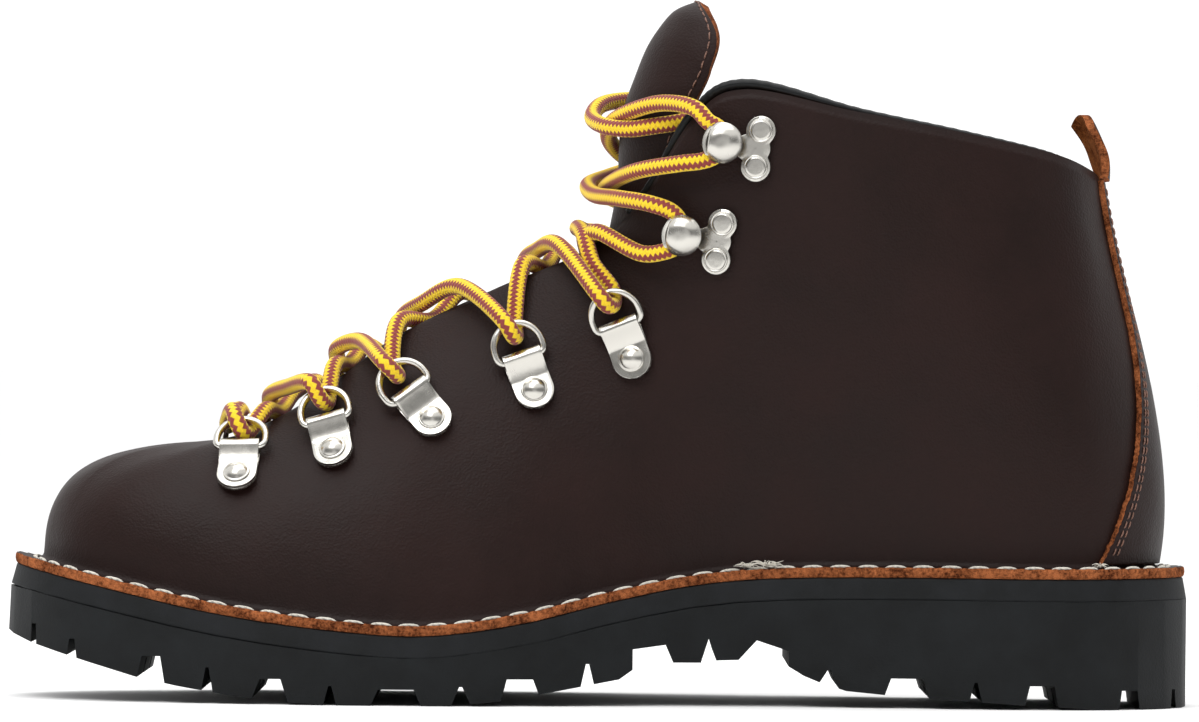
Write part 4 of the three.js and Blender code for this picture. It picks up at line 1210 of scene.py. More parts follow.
    def welt_seam(self) -> None:
        """The white lockstitch that holds the flange to the midsole, with its frayed ends."""
        last = self.maker.last
        u = np.linspace(0, last.turn, 900)
        reach = self.backstay_reach(np.array(0.0))
        from_heel = np.abs(u - last.heel)
        step = smooth(-from_heel, -reach - 0.9, -reach - 0.2)
        inset = self.stitch_inset + 0.6 + step * (self.backstay - last.clearance)
        line = last.feather(u, inset, -0.1)
        up = np.tile([0, 0, 1.0], (len(u), 1))
        seam = stitches(line, up, self.welt_pitch, self.welt_stitch, self.thread / 2, 8)
        seam = Surface.merged([seam, *(self.fray(x, spread) for x, spread in self.frays)])
        self.maker.piece("welt_lockstitch", seam, [WELT_THREAD], Body.BOOT, "thread", "welt_stitching")

    def fray(self, x: float, spread: float) -> Surface:
        """A tuft of loose thread ends: short curved fibres, root + far t + 4 bow t (1 - t), fanned out at random.

        Args:
            x: place along the boot.
            spread: size of the tuft; 1 reaches 4.5 mm each way.

        Returns:
            The fibres.
        """
        last = self.maker.last
        u = np.linspace(6.5, 14.5, 400)
        line = last.feather(u, self.stitch_inset + 0.8, 0.5)
        root = line[np.argmin(np.abs(line[:, 0] - x))]
        draw = np.random.default_rng(int(x * 10))
        made = []
        t = np.linspace(0, 1, 9)[:, None]
        for _ in range(self.fibres):
            heading = draw.uniform(-1, 1)
            far = np.array([heading * 4.5, draw.uniform(-2.2, 1.2), draw.uniform(-0.4, 1.8)]) * spread
            bow = np.array([draw.uniform(-0.6, 0.6), draw.uniform(-0.6, 0.6), draw.uniform(0.2, 1.2)]) * spread
            path = root + far * t + bow * 4 * t * (1 - t)
            path[:, 2] = np.maximum(path[:, 2], last.welt(path[:, 0]) + 0.15)
            made.append(tube(path, self.fibre * (1 - 0.6 * t[:, 0]), 5))
        return Surface.merged(made)

    @staticmethod
    def backstay_reach(v: Array) -> Array:
        """Half width of the heel overlay, in stations: narrow up the back, sweeping forward at its foot."""
        return 0.62 + 0.2 * (1 - v) + 1.05 * np.maximum(0, 1 - v / 0.62) ** 1.5

    def heel_overlay(self) -> None:
        """The backstay with its raw cut edge, and two rows of fine stitching behind the edge."""
        last = self.maker.last
        across = np.linspace(-1, 1, 60)[:, None]
        v = np.linspace(0.012, 1, 170)[None, :]
        frayed = 1 + 0.006 * np.random.default_rng(7).normal(0, 1, v.shape) + 0.006 * np.sin(60 * v)
        u = last.heel + across * self.backstay_reach(v) * np.where(np.abs(across) > 0.99, frayed, 1)
        inner = last.off(u, v, 0.05 + 0 * u)
        outer = last.off(u, v, self.overlay + 0.05 * np.sin(14 * v) + 0 * u)
        surface = shell(outer, inner, (0, 0, 1))
        finishes = [LEATHER, RAW_EDGE]
        obj = self.maker.piece("backstay_leather", surface, finishes, Body.BOOT, "leather", "backstay")
        bevelled(obj, 0.3)
        rows = []
        vs = np.linspace(0.03, 0.985, 300)
        reach = self.backstay_reach(vs)
        near = 0.05
        for sign in (-1, 1):
            edge = last.wall(last.heel + sign * reach, vs)
            nearby = last.wall(last.heel + sign * (reach - near), vs)
            per_mm = near / np.linalg.norm(edge - nearby, axis=1)
            for inset in self.fine_rows:
                us = last.heel + sign * (reach - inset * per_mm)
                rows.append(self.fine.along(last.off(us, vs, self.overlay + 0.02), last.normal(us, vs)))
        self.maker.piece("backstay_stitching", Surface.merged(rows), [FINE_THREAD], Body.BOOT, "leather")

    def pull_tab(self) -> None:
        """The overlay's free end above the collar: it leans forward and tapers to a round tip."""
        last = self.maker.last
        across = np.linspace(-1, 1, 40)[:, None]
        t = np.linspace(0, 1, 40)[None, :]
        u = last.heel + across * self.backstay_reach(np.array(1.0))
        root = last.off(np.array(float(last.heel)), np.array(1.0), 0.6)

        def face(thickness: float) -> Array:
            """One face of the tab, thickness outside its inner one.

            Args:
                thickness: distance outside the inner face.

            Returns:
                The face's grid of points.
            """
            edge = last.off(u, np.array(1.0), 0.6 + thickness) + 0 * t[..., None]
            width = np.sqrt(1 - (0.85 * t) ** 4)
            z = edge[..., 2] + 0.6 + (root[2] + self.tab_height - 3 * across**2 - edge[..., 2] - 0.6) * t
            flat = (root[0] + thickness - edge[..., 0]) * 0.8 * t
            lean = -4.8 * t * t - 1.2 * t - 1.6 * across * np.sqrt(t) + 0.12 * np.sin(9 * t + 2 * across)
            return np.stack([edge[..., 0] + flat + lean, edge[..., 1] * width, z], axis=-1)

        surface = shell(face(self.tab_thickness), face(0), (0, 1, 2))
        finishes = [LEATHER, FLESH, RAW_EDGE]
        obj = self.maker.piece("heel_pull_tab", surface, finishes, Body.TAB, "suede", "pull_tab")
        bevelled(obj, 0.4)

    def collar_roll(self) -> None:
        """The black rolled edge round the collar, wrapped and stitched."""
        last = self.maker.last
        u = np.linspace(self.collar_start, last.turn - self.collar_start, 420)
        outward = last.normal(u, 1)
        beyond = unit(np.cross(outward, last.wall(u + 0.02, 1) - last.wall(u - 0.02, 1)))
        hidden = self.cover(u)
        middle = last.off(u, 1, -last.lining_inner(u) / 2 - hidden * 0.45)
        middle += beyond * (self.binding / 2 + 0.35 - hidden * 0.15)[:, None]
        angle = circle(20)
        pinch = 0.06 * np.sin(np.arange(len(u)) * 1.7)
        wide = last.lining_inner(u) / 2 + 0.25 - hidden * 0.5 + pinch
        tall = self.binding / 2 + 0.15 - hidden * 0.25 + pinch
        grid = middle[:, None] + outward[:, None] * (wide[:, None] * np.cos(angle))[..., None]
        grid = grid + beyond[:, None] * (tall[:, None] * np.sin(angle))[..., None]
        surface = loft(grid, ends=grid[[0, -1]].mean(axis=1))
        self.maker.piece("collar_rolled_edge", surface, [BINDING], Body.BOOT, "black_leather", "collar_binding")


# --------------------------------------------------------------------------------------------------
# Tongue
# --------------------------------------------------------------------------------------------------


@dataclass
class Tongue:
    """The tongue: a vamp part under the lacing and a blade above the ankle's flex line."""

    maker: Maker
    thickness: float = 3.0
    under_lining: float = 2.5  # room for the gusset between lining and tongue
    gusset_gap: float = 0.9
    gusset_thickness: float = 1.0
    # Middle line of the blade's front face, x and z, and the radius and half angle it is rolled to.
    line: tuple[tuple[float, ...], ...] = (
        (0.8, 117, 18.5, 62),
        (2.6, 125.5, 18.2, 70),
        (4.4, 138, 17.8, 76),
        (5, 152, 19.2, 80),
        (8.4, 164, 21, 80),
        (13, 174.5, 21.5, 79),
        (18.6, 181.6, 21, 67),
        (25, 184.6, 19, 30),
    )
    fine: FineSeam = FineSeam(2.7)
    fine_inset: float = 2.3

    def build(self) -> None:
        """Makes the tongue's pieces."""
        self.vamp_part()
        self.blade()
        self.gusset()

    def vamp_part(self) -> None:
        """The tongue under the lacing: a sheet held one gusset's depth inside the wall's top edge."""
        last = self.maker.last
        u = np.linspace(1.5, 7, 90)[:, None]
        v = np.linspace(0.72, 1, 16)[None, :]

        def face(extra: float) -> Array:
            """The sheet's face at a depth below its outer one.

            Args:
                extra: depth below the sheet's outer face.

            Returns:
                The face's grid of points.
            """
            depth = last.lining_inner(u) + self.under_lining + extra
            medial = last.off(u, v, -depth + 0 * v)
            lateral = last.off(last.turn - u, v[:, ::-1], -depth + 0 * v)
            middle = (medial[:, -1:] + lateral[:, :1]) / 2 + np.array([0, 0, 0.8])
            return np.concatenate([medial, middle, lateral], axis=1)

        surface = shell(face(0), face(self.thickness), (0, 1, 1))
        finishes = [LEATHER, LINING]
        obj = self.maker.piece("tongue_vamp_leather", surface, finishes, Body.BOOT, "leather", "tongue_lower")
        bevelled(obj, 0.5)

    def blade_point(self, t: Array, side: Array, depth: Array | float) -> Array:
        """A point of the blade.

        The section is an arc of the row's radius, turned square to the line up to the fifth row; the last rows
        draw in to a round tip.

        Args:
            t: row along the middle line.
            side: from -1 to 1 across.
            depth: distance under the front face.

        Returns:
            The point.
        """
        line = np.array(self.line)
        row = catmull(line, t)
        behind, before = np.clip(t - 0.1, 0, 4.9), np.minimum(t + 0.1, 5.1)
        ahead = unit(catmull(line, before)[..., :2] - catmull(line, behind)[..., :2])
        inward = np.stack([ahead[..., 1], 0 * ahead[..., 0], -ahead[..., 0]], axis=-1)
        tip = np.sqrt(1 - 0.9 * np.clip((t - 6.3) / 0.7, 0, 1) ** 2)
        angle = np.radians(row[..., 3]) * side * tip
        r = row[..., 2] - depth
        base = np.stack([row[..., 0] + 0 * side, r * np.sin(angle), row[..., 1] + 0 * side], axis=-1)
        return base + inward * (row[..., 2] - r * np.cos(angle))[..., None]

    def blade(self) -> None:
        """The blade: grain leather in front, black lining behind, a raw cut edge and a stitched border."""
        t = np.linspace(0, len(self.line) - 1, 110)[:, None]
        side = np.linspace(-1, 1, 60)[None, :]
        front = self.blade_point(t, side, 0.06 * np.sin(5 * t + 3 * side))
        back = self.blade_point(t, side, self.thickness)
        surface = shell(front, back, (0, 1, 2))
        finishes = [LEATHER, LINING, RAW_EDGE]
        obj = self.maker.piece("tongue_blade_leather", surface, finishes, Body.TONGUE, "leather", "tongue_upper")
        bevelled(obj, 0.4)
        low, high, legs, over = 0.6, 6.86, 160, 30
        leg = np.linspace(low, high, legs)
        ts = np.concatenate([leg, np.full(over, high), leg[::-1]])
        sides = np.concatenate([np.full(legs, -1.0), np.linspace(-1, 1, over), np.full(legs, 1.0)])
        row = catmull(np.array(self.line), ts)
        arc = np.maximum(np.radians(row[:, 3]) * row[:, 2], self.fine_inset * 1.05)
        sides = sides * np.maximum(1 - self.fine_inset / arc, 0.05)
        path = self.blade_point(ts, sides, -0.05)
        seam = self.fine.along(path, unit(self.blade_point(ts, sides, -1.05) - path))
        self.maker.piece("tongue_stitching", seam, [FINE_THREAD], Body.TONGUE, "leather")

    def gusset(self) -> None:
        """The bellows leather between tongue and lining."""
        last = self.maker.last
        u = np.linspace(-6.5, 6.5, 120)[:, None]
        v = np.linspace(0.7, 0.94, 12)[None, :]
        depth = last.lining_inner(u) + self.gusset_gap - 0.15 * np.sin(4 * u + 20 * v)
        surface = shell(last.off(u, v, -depth), last.off(u, v, -depth - self.gusset_thickness))
        self.maker.piece("gusset_leather", surface, [BINDING], Body.BOOT, "black_leather", "tongue_gusset")


# --------------------------------------------------------------------------------------------------
# Hardware
# --------------------------------------------------------------------------------------------------


SHANK = ((0, -1.2), (1.1, -1.2), (1.1, -0.02))  # radius and height of a rivet's shank under its head


@dataclass(frozen=True)
class RingSpec:
    """Where a D-ring's bar and rivet sit in side view, and its lean in degrees."""

    bar: Point2
    rivet: Point2
    lean: float


@dataclass(frozen=True)
class HookSpec:
    """Where a speed hook's hood and the middle of its rivets sit in side view."""

    hood: Point2
    rivets: Point2


@dataclass
class Hardware:
    """D-rings in riveted clips, and speed hooks."""

    maker: Maker
    wire: float = 1.9
    ring_width: float = 14.8
    ring_height: float = 10.5
    ring_corner: float = 2.0
    clip_width: float = 10.3
    clip_length: float = 14.0
    clip_thickness: float = 1.6
    soft_edge: float = 0.14  # rounding of the pressed steel's edges
    eye: float = 2.2
    strap_gap: float = 0.8
    rivet_from_end: float = 5.2
    rivet_head: float = 7.0
    rivet_dome: float = 1.35
    hook_plate: float = 1.2
    hook_lobe: float = 3.9
    hook_spread: float = 9.6
    hook_cap: float = 6.4
    hook_reach: float = 9.0
    hook_neck: float = 4.6
    hood_radius: float = 5.4
    hood_rim: float = 6.2
    hood_crown: float = 2.8
    hood_wall: float = 0.9
    rings: tuple[RingSpec, ...] = (
        RingSpec((-92.8, 64.6), (-93.7, 57.2), -4),
        RingSpec((-69.9, 71.1), (-68.5, 64.8), -10),
        RingSpec((-48.6, 79.2), (-43, 73.2), -12),
        RingSpec((-20, 89.2), (-16.5, 80.6), -14),
        RingSpec((6, 98), (9, 89.5), -16),
    )
    hooks: tuple[HookSpec, ...] = (
        HookSpec((22.3, 122.3), (31.6, 120.6)),
        HookSpec((32, 146), (41, 144.8)),
    )

    def build(self) -> None:
        """Makes both sides' rings and hooks."""
        for side in Side:
            for number, spec in enumerate(self.rings, 1):
                self.ring(spec, number, side)
            for number, spec in enumerate(self.hooks, 1):
                self.hook(spec, number, side)

    def wire_loop(self) -> Surface:
        """The D: a straight bar with rounded corners and a half-circle arch."""
        half = (self.ring_width - self.wire) / 2
        crown = self.ring_height - self.wire / 2
        spring = crown - half
        corner = self.ring_corner
        turn = np.linspace(0, math.pi / 2, 9)[1:]
        arch = np.linspace(math.pi / 2, -math.pi / 2, 40)
        bar = np.stack([np.zeros(12), np.linspace(corner - half, half - corner, 12)], axis=1)
        up = np.stack([corner * (1 - np.cos(turn)), half - corner * (1 - np.sin(turn))], axis=1)
        leg = np.stack([np.linspace(corner, spring, 5)[1:-1], np.full(3, half)], axis=1)
        top = np.stack([np.minimum(max(spring, corner) + half * np.cos(arch), crown), half * np.sin(arch)], axis=1)
        flat = np.concatenate([bar, up, *([leg] if spring > corner else []), top, up[::-1] * [1, -1]])
        path = np.concatenate([flat, np.zeros((len(flat), 1))], axis=1)
        keep = np.concatenate([[True], np.linalg.norm(np.diff(path, axis=0), axis=1) > 0.05])
        return tube(even(path[keep], 0.6)[:-1], self.wire / 2, 16, closed=True, start=np.array([0, 0, 1.0]))

    def strap(self) -> Surface:
        """The clip: a strap folded double round the bar, one rounded end, swept as a ribbon along its fold."""
        layer = self.clip_thickness / 2
        mid = self.eye - layer / 2
        low = -self.eye + layer / 2
        high = low + layer + 0.06
        turn = np.radians(np.linspace(-90, 104, 24))
        roll = np.stack([mid * np.cos(turn), mid * np.sin(turn)], axis=1)
        t = np.linspace(0, 1, 12)[1:, None]
        meet = -5.6  # where the two layers come together
        foot = np.array([meet, high])
        ease = roll[-1] + (foot - roll[-1]) * np.concatenate([t, 1 - (1 - t) ** 1.45], axis=1)
        end = 0.02 - self.clip_length
        back = np.stack([np.linspace(end, 0, 30), np.full(30, low)], axis=1)
        out = np.stack([np.linspace(meet, end, 24)[1:], np.full(23, high)], axis=1)
        path = np.concatenate([back[:-1], roll, ease, out])
        half = self.clip_width / 2
        into = np.clip(path[:, 0] + self.clip_length, 0, half)
        width = np.sqrt(np.maximum(half**2 - (half - into) ** 2, 0.04))
        return ribbon(path, layer, width, np.linspace(-1, 1, 15))

    @staticmethod
    def rivet(head: float, dome: float, rim: float = 0.35) -> Surface:
        """A rivet cap: shank, thin rim, then a dome whose height is dome (1 - (r / foot)^2.2).

        Args:
            head: diameter.
            dome: height of the dome over the rim.
            rim: height of the rim.

        Returns:
            The cap, its head's underside at Z 0.
        """
        r, foot = head / 2, 0.86
        profile = [*SHANK, (r * 0.98, 0), (r, rim * 0.5), (r * 0.97, rim), (r * 0.9, rim + 0.02)]
        profile += [(r * a, rim + 0.05 + dome * (1 - (a / foot) ** 2.2)) for a in np.linspace(foot, 0, 14)]
        return lathe(profile)

    @staticmethod
    def flat_cap(head: float) -> Surface:
        """A flat rivet cap: a rounded rim, a shallow groove inside it and a nearly flat middle.

        Args:
            head: diameter.

        Returns:
            The cap, its head's underside at Z 0.
        """
        r = head / 2
        rim = ((0.97, 0), (1, 0.16), (0.98, 0.42), (0.93, 0.56), (0.87, 0.52), (0.83, 0.4), (0.78, 0.5))
        profile = [*SHANK, *((r * a, z) for a, z in rim)]
        profile += [(r * a, 0.56 + 0.08 * (1 - a * a)) for a in (0.72, 0.6, 0.45, 0.3, 0.15, 0)]
        return lathe(profile)

    def ring(self, spec: RingSpec, number: int, side: Side) -> None:
        """One D-ring with its clip and rivet.

        Args:
            spec: where it sits.
            number: its number, counted from the toe up.
            side: which side of the boot.
        """
        seat = Seat.between(self.maker.last, spec.rivet, spec.bar, side)
        clip = seat.moved((self.clip_length / 2 - self.rivet_from_end / 2, 0, self.strap_gap + self.eye))
        hinge = clip.leaned(spec.lean)
        spot = clip.moved((self.rivet_from_end - self.clip_length, 0, self.clip_thickness - self.eye + 0.12))
        tag = f"{side.label}_{number}"
        cap = self.rivet(self.rivet_head, self.rivet_dome)
        obj = self.metal(f"clip_strap_{tag}", clip.place(self.strap()), Body.BOOT, f"ring_clip_{tag}")
        bevelled(obj, self.soft_edge)
        self.metal(f"ring_wire_{tag}", hinge.place(self.wire_loop()), f"ring_{tag}", f"d_ring_{tag}")
        self.metal(f"clip_rivet_{tag}", spot.place(cap), Body.BOOT, f"ring_rivet_{tag}")

    def metal(self, name: str, surface: Surface, body: Body | str, node: str) -> bpy.types.Object:
        """One nickelled piece that stands for one CAD node."""
        return self.maker.piece(name, surface, [NICKEL], body, "nickel", node)

    def plate(self) -> Surface:
        """The hook's plate: two rivet lobes and the neck, as one outline read by angle from its middle.

        At each angle the edge is the farthest of the lobes, a middle disc and the neck; the outline is then
        averaged a little so its inner corners are round.
        """
        centre = np.array([-self.hook_reach + 0.6, 0.0])
        angle = np.linspace(-math.pi, math.pi, 180, endpoint=False)
        ray = np.stack([np.cos(angle), np.sin(angle)], axis=1)

        def disc(x: float, y: float, radius: float) -> Array:
            """How far each ray goes before it leaves a disc; 0 if it misses.

            Args:
                x: along the plate.
                y: across the plate.
                radius: the disc's radius.

            Returns:
                One distance for each ray.
            """
            to = np.array([x, y]) - centre
            b = ray @ to
            inside = b * b - to @ to + radius * radius
            return np.where(inside > 0, b + np.sqrt(np.maximum(inside, 0)), 0)

        lobe, spread = self.hook_lobe, self.hook_spread / 2
        edge = np.full(len(angle), 2.2)
        for x, y, radius in ((0, spread, lobe), (0, -spread, lobe), (0.6, 0, 3.8), (3.0, 0, 3.4)):
            edge = np.maximum(edge, disc(x - self.hook_reach, y, radius))
        reach = self.hood_radius - self.hood_wall / 2 - centre[0]
        ahead, aside = np.maximum(ray[:, 0], 1e-3), np.maximum(np.abs(ray[:, 1]), 1e-3)
        neck = np.minimum(reach / ahead, self.hook_neck / 2 / aside) * (ray[:, 0] > 0)
        edge = np.maximum(edge, np.minimum(neck, reach))
        for _ in range(5):
            edge = (np.roll(edge, 1) + 2 * edge + np.roll(edge, -1)) / 4
        rim = centre + ray * edge[:, None]
        levels = ((0.02, 0), (0.5, 0), (0.97, 0), (1, 1 / 6), (1, 19 / 24), (0.975, 1), (0.5, 1), (0.02, 1))
        rows = [
            np.column_stack([centre + (rim - centre) * shrink, np.full(len(rim), z * self.hook_plate)])
            for shrink, z in levels
        ]
        return loft(np.stack(rows))

    def hood(self) -> Surface:
        """The hood: a shallow dome, rolled under at its free edge and folded down along a line at its front.

        Height over the rim is crown (1 - (r / R)^3.4). Past the fold line the dome turns down towards the stem.
        """
        fold, steep = self.hood_radius * 0.62, 1.15
        across = np.cos(np.linspace(0, math.pi / 2, 18))
        outer = [(self.hood_radius * a, self.hood_rim + self.hood_crown * (1 - a**3.4)) for a in across]
        inner_r, inner_h = self.hood_radius - self.hood_wall, self.hood_crown - self.hood_wall
        inner = [(inner_r * a, self.hood_rim + inner_h * (1 - a**3.4)) for a in across[::-1]]
        made = lathe(inner + [(self.hood_radius - 0.45, self.hood_rim - 0.22)] + outer, 72)
        past = np.maximum(made.points[:, 0] - fold, 0)
        made.points[:, 0] -= past * 0.55
        made.points[:, 2] -= past * steep
        return made

    def stem(self) -> Surface:
        """The stem: a strip that leaves the plate, turns up in front of the lace and flares into the hood."""
        front = self.hood_radius - self.hood_wall / 2
        turn = np.linspace(0, math.pi / 2, 9)
        bend = 1.3
        flat = np.stack([np.linspace(-4, front - bend, 10), np.full(10, self.hook_plate / 2)], axis=1)
        curl = np.stack(
            [front - bend + bend * np.sin(turn), self.hook_plate / 2 + bend * (1 - np.cos(turn))], axis=1
        )
        rise = np.linspace(curl[-1, 1], self.hood_rim + self.hood_wall * 1.2, 10)[1:]
        lean = 0.5 * np.linspace(0, 1, 9) ** 2
        path = np.concatenate([flat, curl[1:], np.stack([front - lean, rise], axis=1)])
        half = self.hook_neck / 2 + 1.5 * smooth(path[:, 1], 3.6, self.hood_rim)
        bow = smooth(path[:, 1], 2, self.hood_rim)[:, None] / (2 * self.hood_radius)
        return ribbon(path, 1.0, half, np.linspace(-1, 1, 9), bow)

    def hook(self, spec: HookSpec, number: int, side: Side) -> None:
        """One speed hook with its two rivets.

        Args:
            spec: where it sits.
            number: its number, counted from the toe up.
            side: which side of the boot.
        """
        seat = Seat.between(self.maker.last, spec.rivets, spec.hood, side).moved((self.hook_reach / 2, 0, 0.5))
        tag = f"{side.label}_{number}"
        whole = Surface.merged([self.plate(), self.hood(), self.stem()])
        bevelled(self.metal(f"hook_{tag}", seat.place(whole), Body.BOOT, f"speed_hook_{tag}"), 0.12, 2, 50)
        for y in (self.hook_spread / 2, -self.hook_spread / 2):
            level = "low" if (y > 0) == (side is Side.LATERAL) else "high"
            spot = seat.moved((-self.hook_reach, y, self.hook_plate + 0.08))
            cap = spot.place(self.flat_cap(self.hook_cap))
            self.metal(f"hook_cap_{tag}_{level}", cap, Body.BOOT, f"hook_rivet_{tag}_{level}")


# --------------------------------------------------------------------------------------------------
# Lace
# --------------------------------------------------------------------------------------------------


@dataclass
class Lace:
    """One round braided lace through every ring and hook; its route is the CAD solid's."""

    maker: Maker
    diameter: float = 4.4
    sides: int = 24  # points round the cord
    step: float = 0.7  # from ring of points to ring of points
    # Points through each ring and hook from the toe up, then across to the next one, under and over its twin.
    at_rings: tuple = (
        ((-95.5, -21.6, 75.5), (-94.3, -25.6, 72.8), (-92.8, -24.8, 69.9), (-91.8, -22.1, 69.5), (-90.8, -19.7, 70.8)),
        ((-74.8, -27.3, 82.8), (-73.2, -27.5, 79.9), (-71.9, -25.5, 78.1), (-70.9, -22.8, 77.8), (-70.6, -20.7, 79.8)),
        ((-55.7, -31.4, 88.3), (-53.5, -30.7, 86.2), (-52.6, -28.2, 85.1), (-52.6, -25.3, 85.2), (-53.8, -23.6, 87.2)),
        ((-24.3, -31.2, 98.9), (-22.8, -30.5, 96.4), (-22.1, -27.9, 95.5), (-21.9, -25.1, 96), (-22.2, -23.8, 98.6)),
        ((0, -33.3, 106.2), (1.8, -32.3, 104.1), (3.1, -29.7, 103.9), (3.6, -27.1, 105.1), (3.2, -26.3, 108)),
    )
    at_hooks: tuple = (
        (
            (11.1, -32.4, 117.4), (16.3, -34.4, 117.9), (19.4, -35.1, 119.2), (20.9, -35.6, 122.4),
            (20.5, -35.5, 125.9), (18.3, -35, 128.4), (13.2, -33.4, 130.3),
        ),
        (
            (20.9, -36.3, 140.9), (26.3, -37.6, 141.6), (29.5, -37.9, 143), (31, -37.9, 146.3),
            (30.5, -37.7, 149.9), (27.7, -37.4, 151.7), (24.5, -35.6, 155),
        ),
    )
    under: tuple = (
        ((-87.4, -12.2, 75.6), (-84.2, 0, 75.2), (-80.6, 12.2, 80.4)),
        ((-69.4, -12.2, 87.4), (-65.8, 0, 88), (-61.8, 12.2, 92.8)),
        ((-52.6, -12.6, 99.2), (-44, 0, 99.8), (-36.3, 12.6, 107.4)),
        ((-20.3, -13.4, 114.4), (-14.5, 0, 113.8), (-10.3, 15, 119.2)),
        (
            (-1.8, -23.2, 114.6), (-4.2, -17.2, 121.4), (-3, -9, 121.6), (-1.6, 0, 120.2), (-2.9, 15, 122.5),
            (-0.2, 22, 123),
        ),
        ((5.6, -24.8, 131.8), (1, -4, 134), (3.4, 12, 136.6), (10, 26.8, 139.2)),
    )
    over: tuple = (
        ((-87.4, -12.2, 76), (-86.3, 0, 79.8), (-81.4, 12.2, 81.8)),
        ((-69.4, -12.2, 87.8), (-68.8, 0, 92.2), (-62.6, 12.2, 94)),
        ((-52.6, -12.6, 99.6), (-46.4, 0, 104.4), (-37, 12.6, 108.6)),
        ((-20.3, -13.4, 114.8), (-16.4, 0, 118.6), (-11.2, 15, 119.8)),
        ((-1.8, -23.2, 114.6), (-4.2, -17.2, 122), (-6, 0, 124.4), (-3.8, 15, 123.8), (-0.6, 22, 123.4)),
        ((5.2, -24.8, 131.8), (-1.6, -11, 133), (-3.4, 0, 135.6), (1.2, 13, 138), (9, 26.8, 140.4)),
    )
    end_under: tuple = (
        (16, -26, 156.8), (7, -14.6, 154.6), (2.4, -4, 151.6), (2.2, 6, 147.6), (7, 15.6, 143.2), (13, 20, 141.4),
        (17.5, 21.6, 141.8),
    )
    end_over: tuple = (
        (16, -26, 158.4), (5.4, -16, 158.6), (-0.6, -7, 156.8), (-2.4, 0, 153.6), (1, 10.4, 151), (7.6, 17, 150.2),
        (14.2, 20.8, 151), (19.6, 22.2, 151.8), (25, 22.4, 153),
    )
    lateral_shift: tuple = (-0.7, 0, 0, 0.5, 1.4, 0.7, 0.2)  # how much less far out the lateral loops stand
    bar: Point = (-97.6, 0, 71.4)
    bar_side: Point = (-97, -13, 73)

    def half(self, first: Side, over_at: tuple, last_end: tuple) -> list[Point]:
        """One half of the lace from the bar up: it changes sides after every ring and hook.

        Args:
            first: the side of its first ring.
            over_at: the crossings where it lies on top.
            last_end: its tucked end, drawn for a strand that comes from the medial side.

        Returns:
            The half's points.
        """
        points: list[Point] = []
        side = first.value

        def push(rows: Sequence[Point], out: float) -> None:
            """Adds rows on the current side."""
            points.extend((x, -side * (y - out), z) for x, y, z in rows)

        push([self.bar_side], 0)
        stops = [*self.at_rings, *self.at_hooks]
        for i, stop in enumerate(stops):
            push(stop, self.lateral_shift[i] if side > 0 else 0)
            if i + 1 < len(stops):
                push((self.over if i in over_at else self.under)[i], 0)
                side = -side
        push(last_end, 0)
        return points

    def route(self) -> Array:
        """The whole centre line: a centripetal cubic through the points, read in equal steps."""
        medial = self.half(Side.MEDIAL, (1, 3, 4), self.end_under)
        lateral = self.half(Side.LATERAL, (0, 2, 5), self.end_over)
        points = np.array([*lateral[::-1], self.bar, *medial], dtype=float)
        knots = np.concatenate([[0], np.cumsum(np.sqrt(np.linalg.norm(np.diff(points, axis=0), axis=1)))])
        slope = np.gradient(points, knots, axis=0)
        spans = [np.linspace(a, b, 24, endpoint=False) for a, b in zip(knots[:-1], knots[1:])]
        t = np.concatenate([*spans, knots[-1:]])
        k = np.clip(np.searchsorted(knots, t, side="right") - 1, 0, len(points) - 2)
        span = (knots[k + 1] - knots[k])[:, None]
        f = (t - knots[k])[:, None] / span
        line = hermite(points[k], points[k + 1], slope[k] * span, slope[k + 1] * span, f)
        return even(line, self.step)

    def build(self) -> None:
        """Makes the lace: a tube whose UV holds the turn round it and the length along it in metres."""
        path = self.route()
        surface = tube(path, self.diameter / 2, self.sides)
        run = lengths(path) * MM
        turn = np.tile(np.arange(self.sides) / self.sides, len(path))
        rings = np.stack([turn, np.repeat(run, self.sides)], axis=1)
        surface.uv = np.concatenate([rings, [[0, 0], [0, run[-1]]]])
        obj = self.maker.piece("braided_lace", surface, [LACE_BRAID], Body.BOOT, "lace", "lace")
        seam_fix(obj)


def seam_fix(obj: bpy.types.Object) -> None:
    """Carries the turn past 1 instead of back to 0 on faces that cross the start of the circle.

    Args:
        obj: the object.
    """
    mesh = obj.data
    uv = np.empty(len(mesh.loops) * 2, dtype=np.float32)
    mesh.uv_layers[0].data.foreach_get("uv", uv)
    uv = uv.reshape(-1, 2)
    corners = np.empty(len(mesh.polygons), dtype=np.int32)
    mesh.polygons.foreach_get("loop_total", corners)
    face = np.repeat(np.arange(len(corners)), corners)
    high = np.full(len(corners), -1.0)
    np.maximum.at(high, face, uv[:, 0])
    uv[(high[face] > 0.7) & (uv[:, 0] < 0.3), 0] += 1
    mesh.uv_layers[0].data.foreach_set("uv", uv.ravel())


# --------------------------------------------------------------------------------------------------
# Sole
# --------------------------------------------------------------------------------------------------


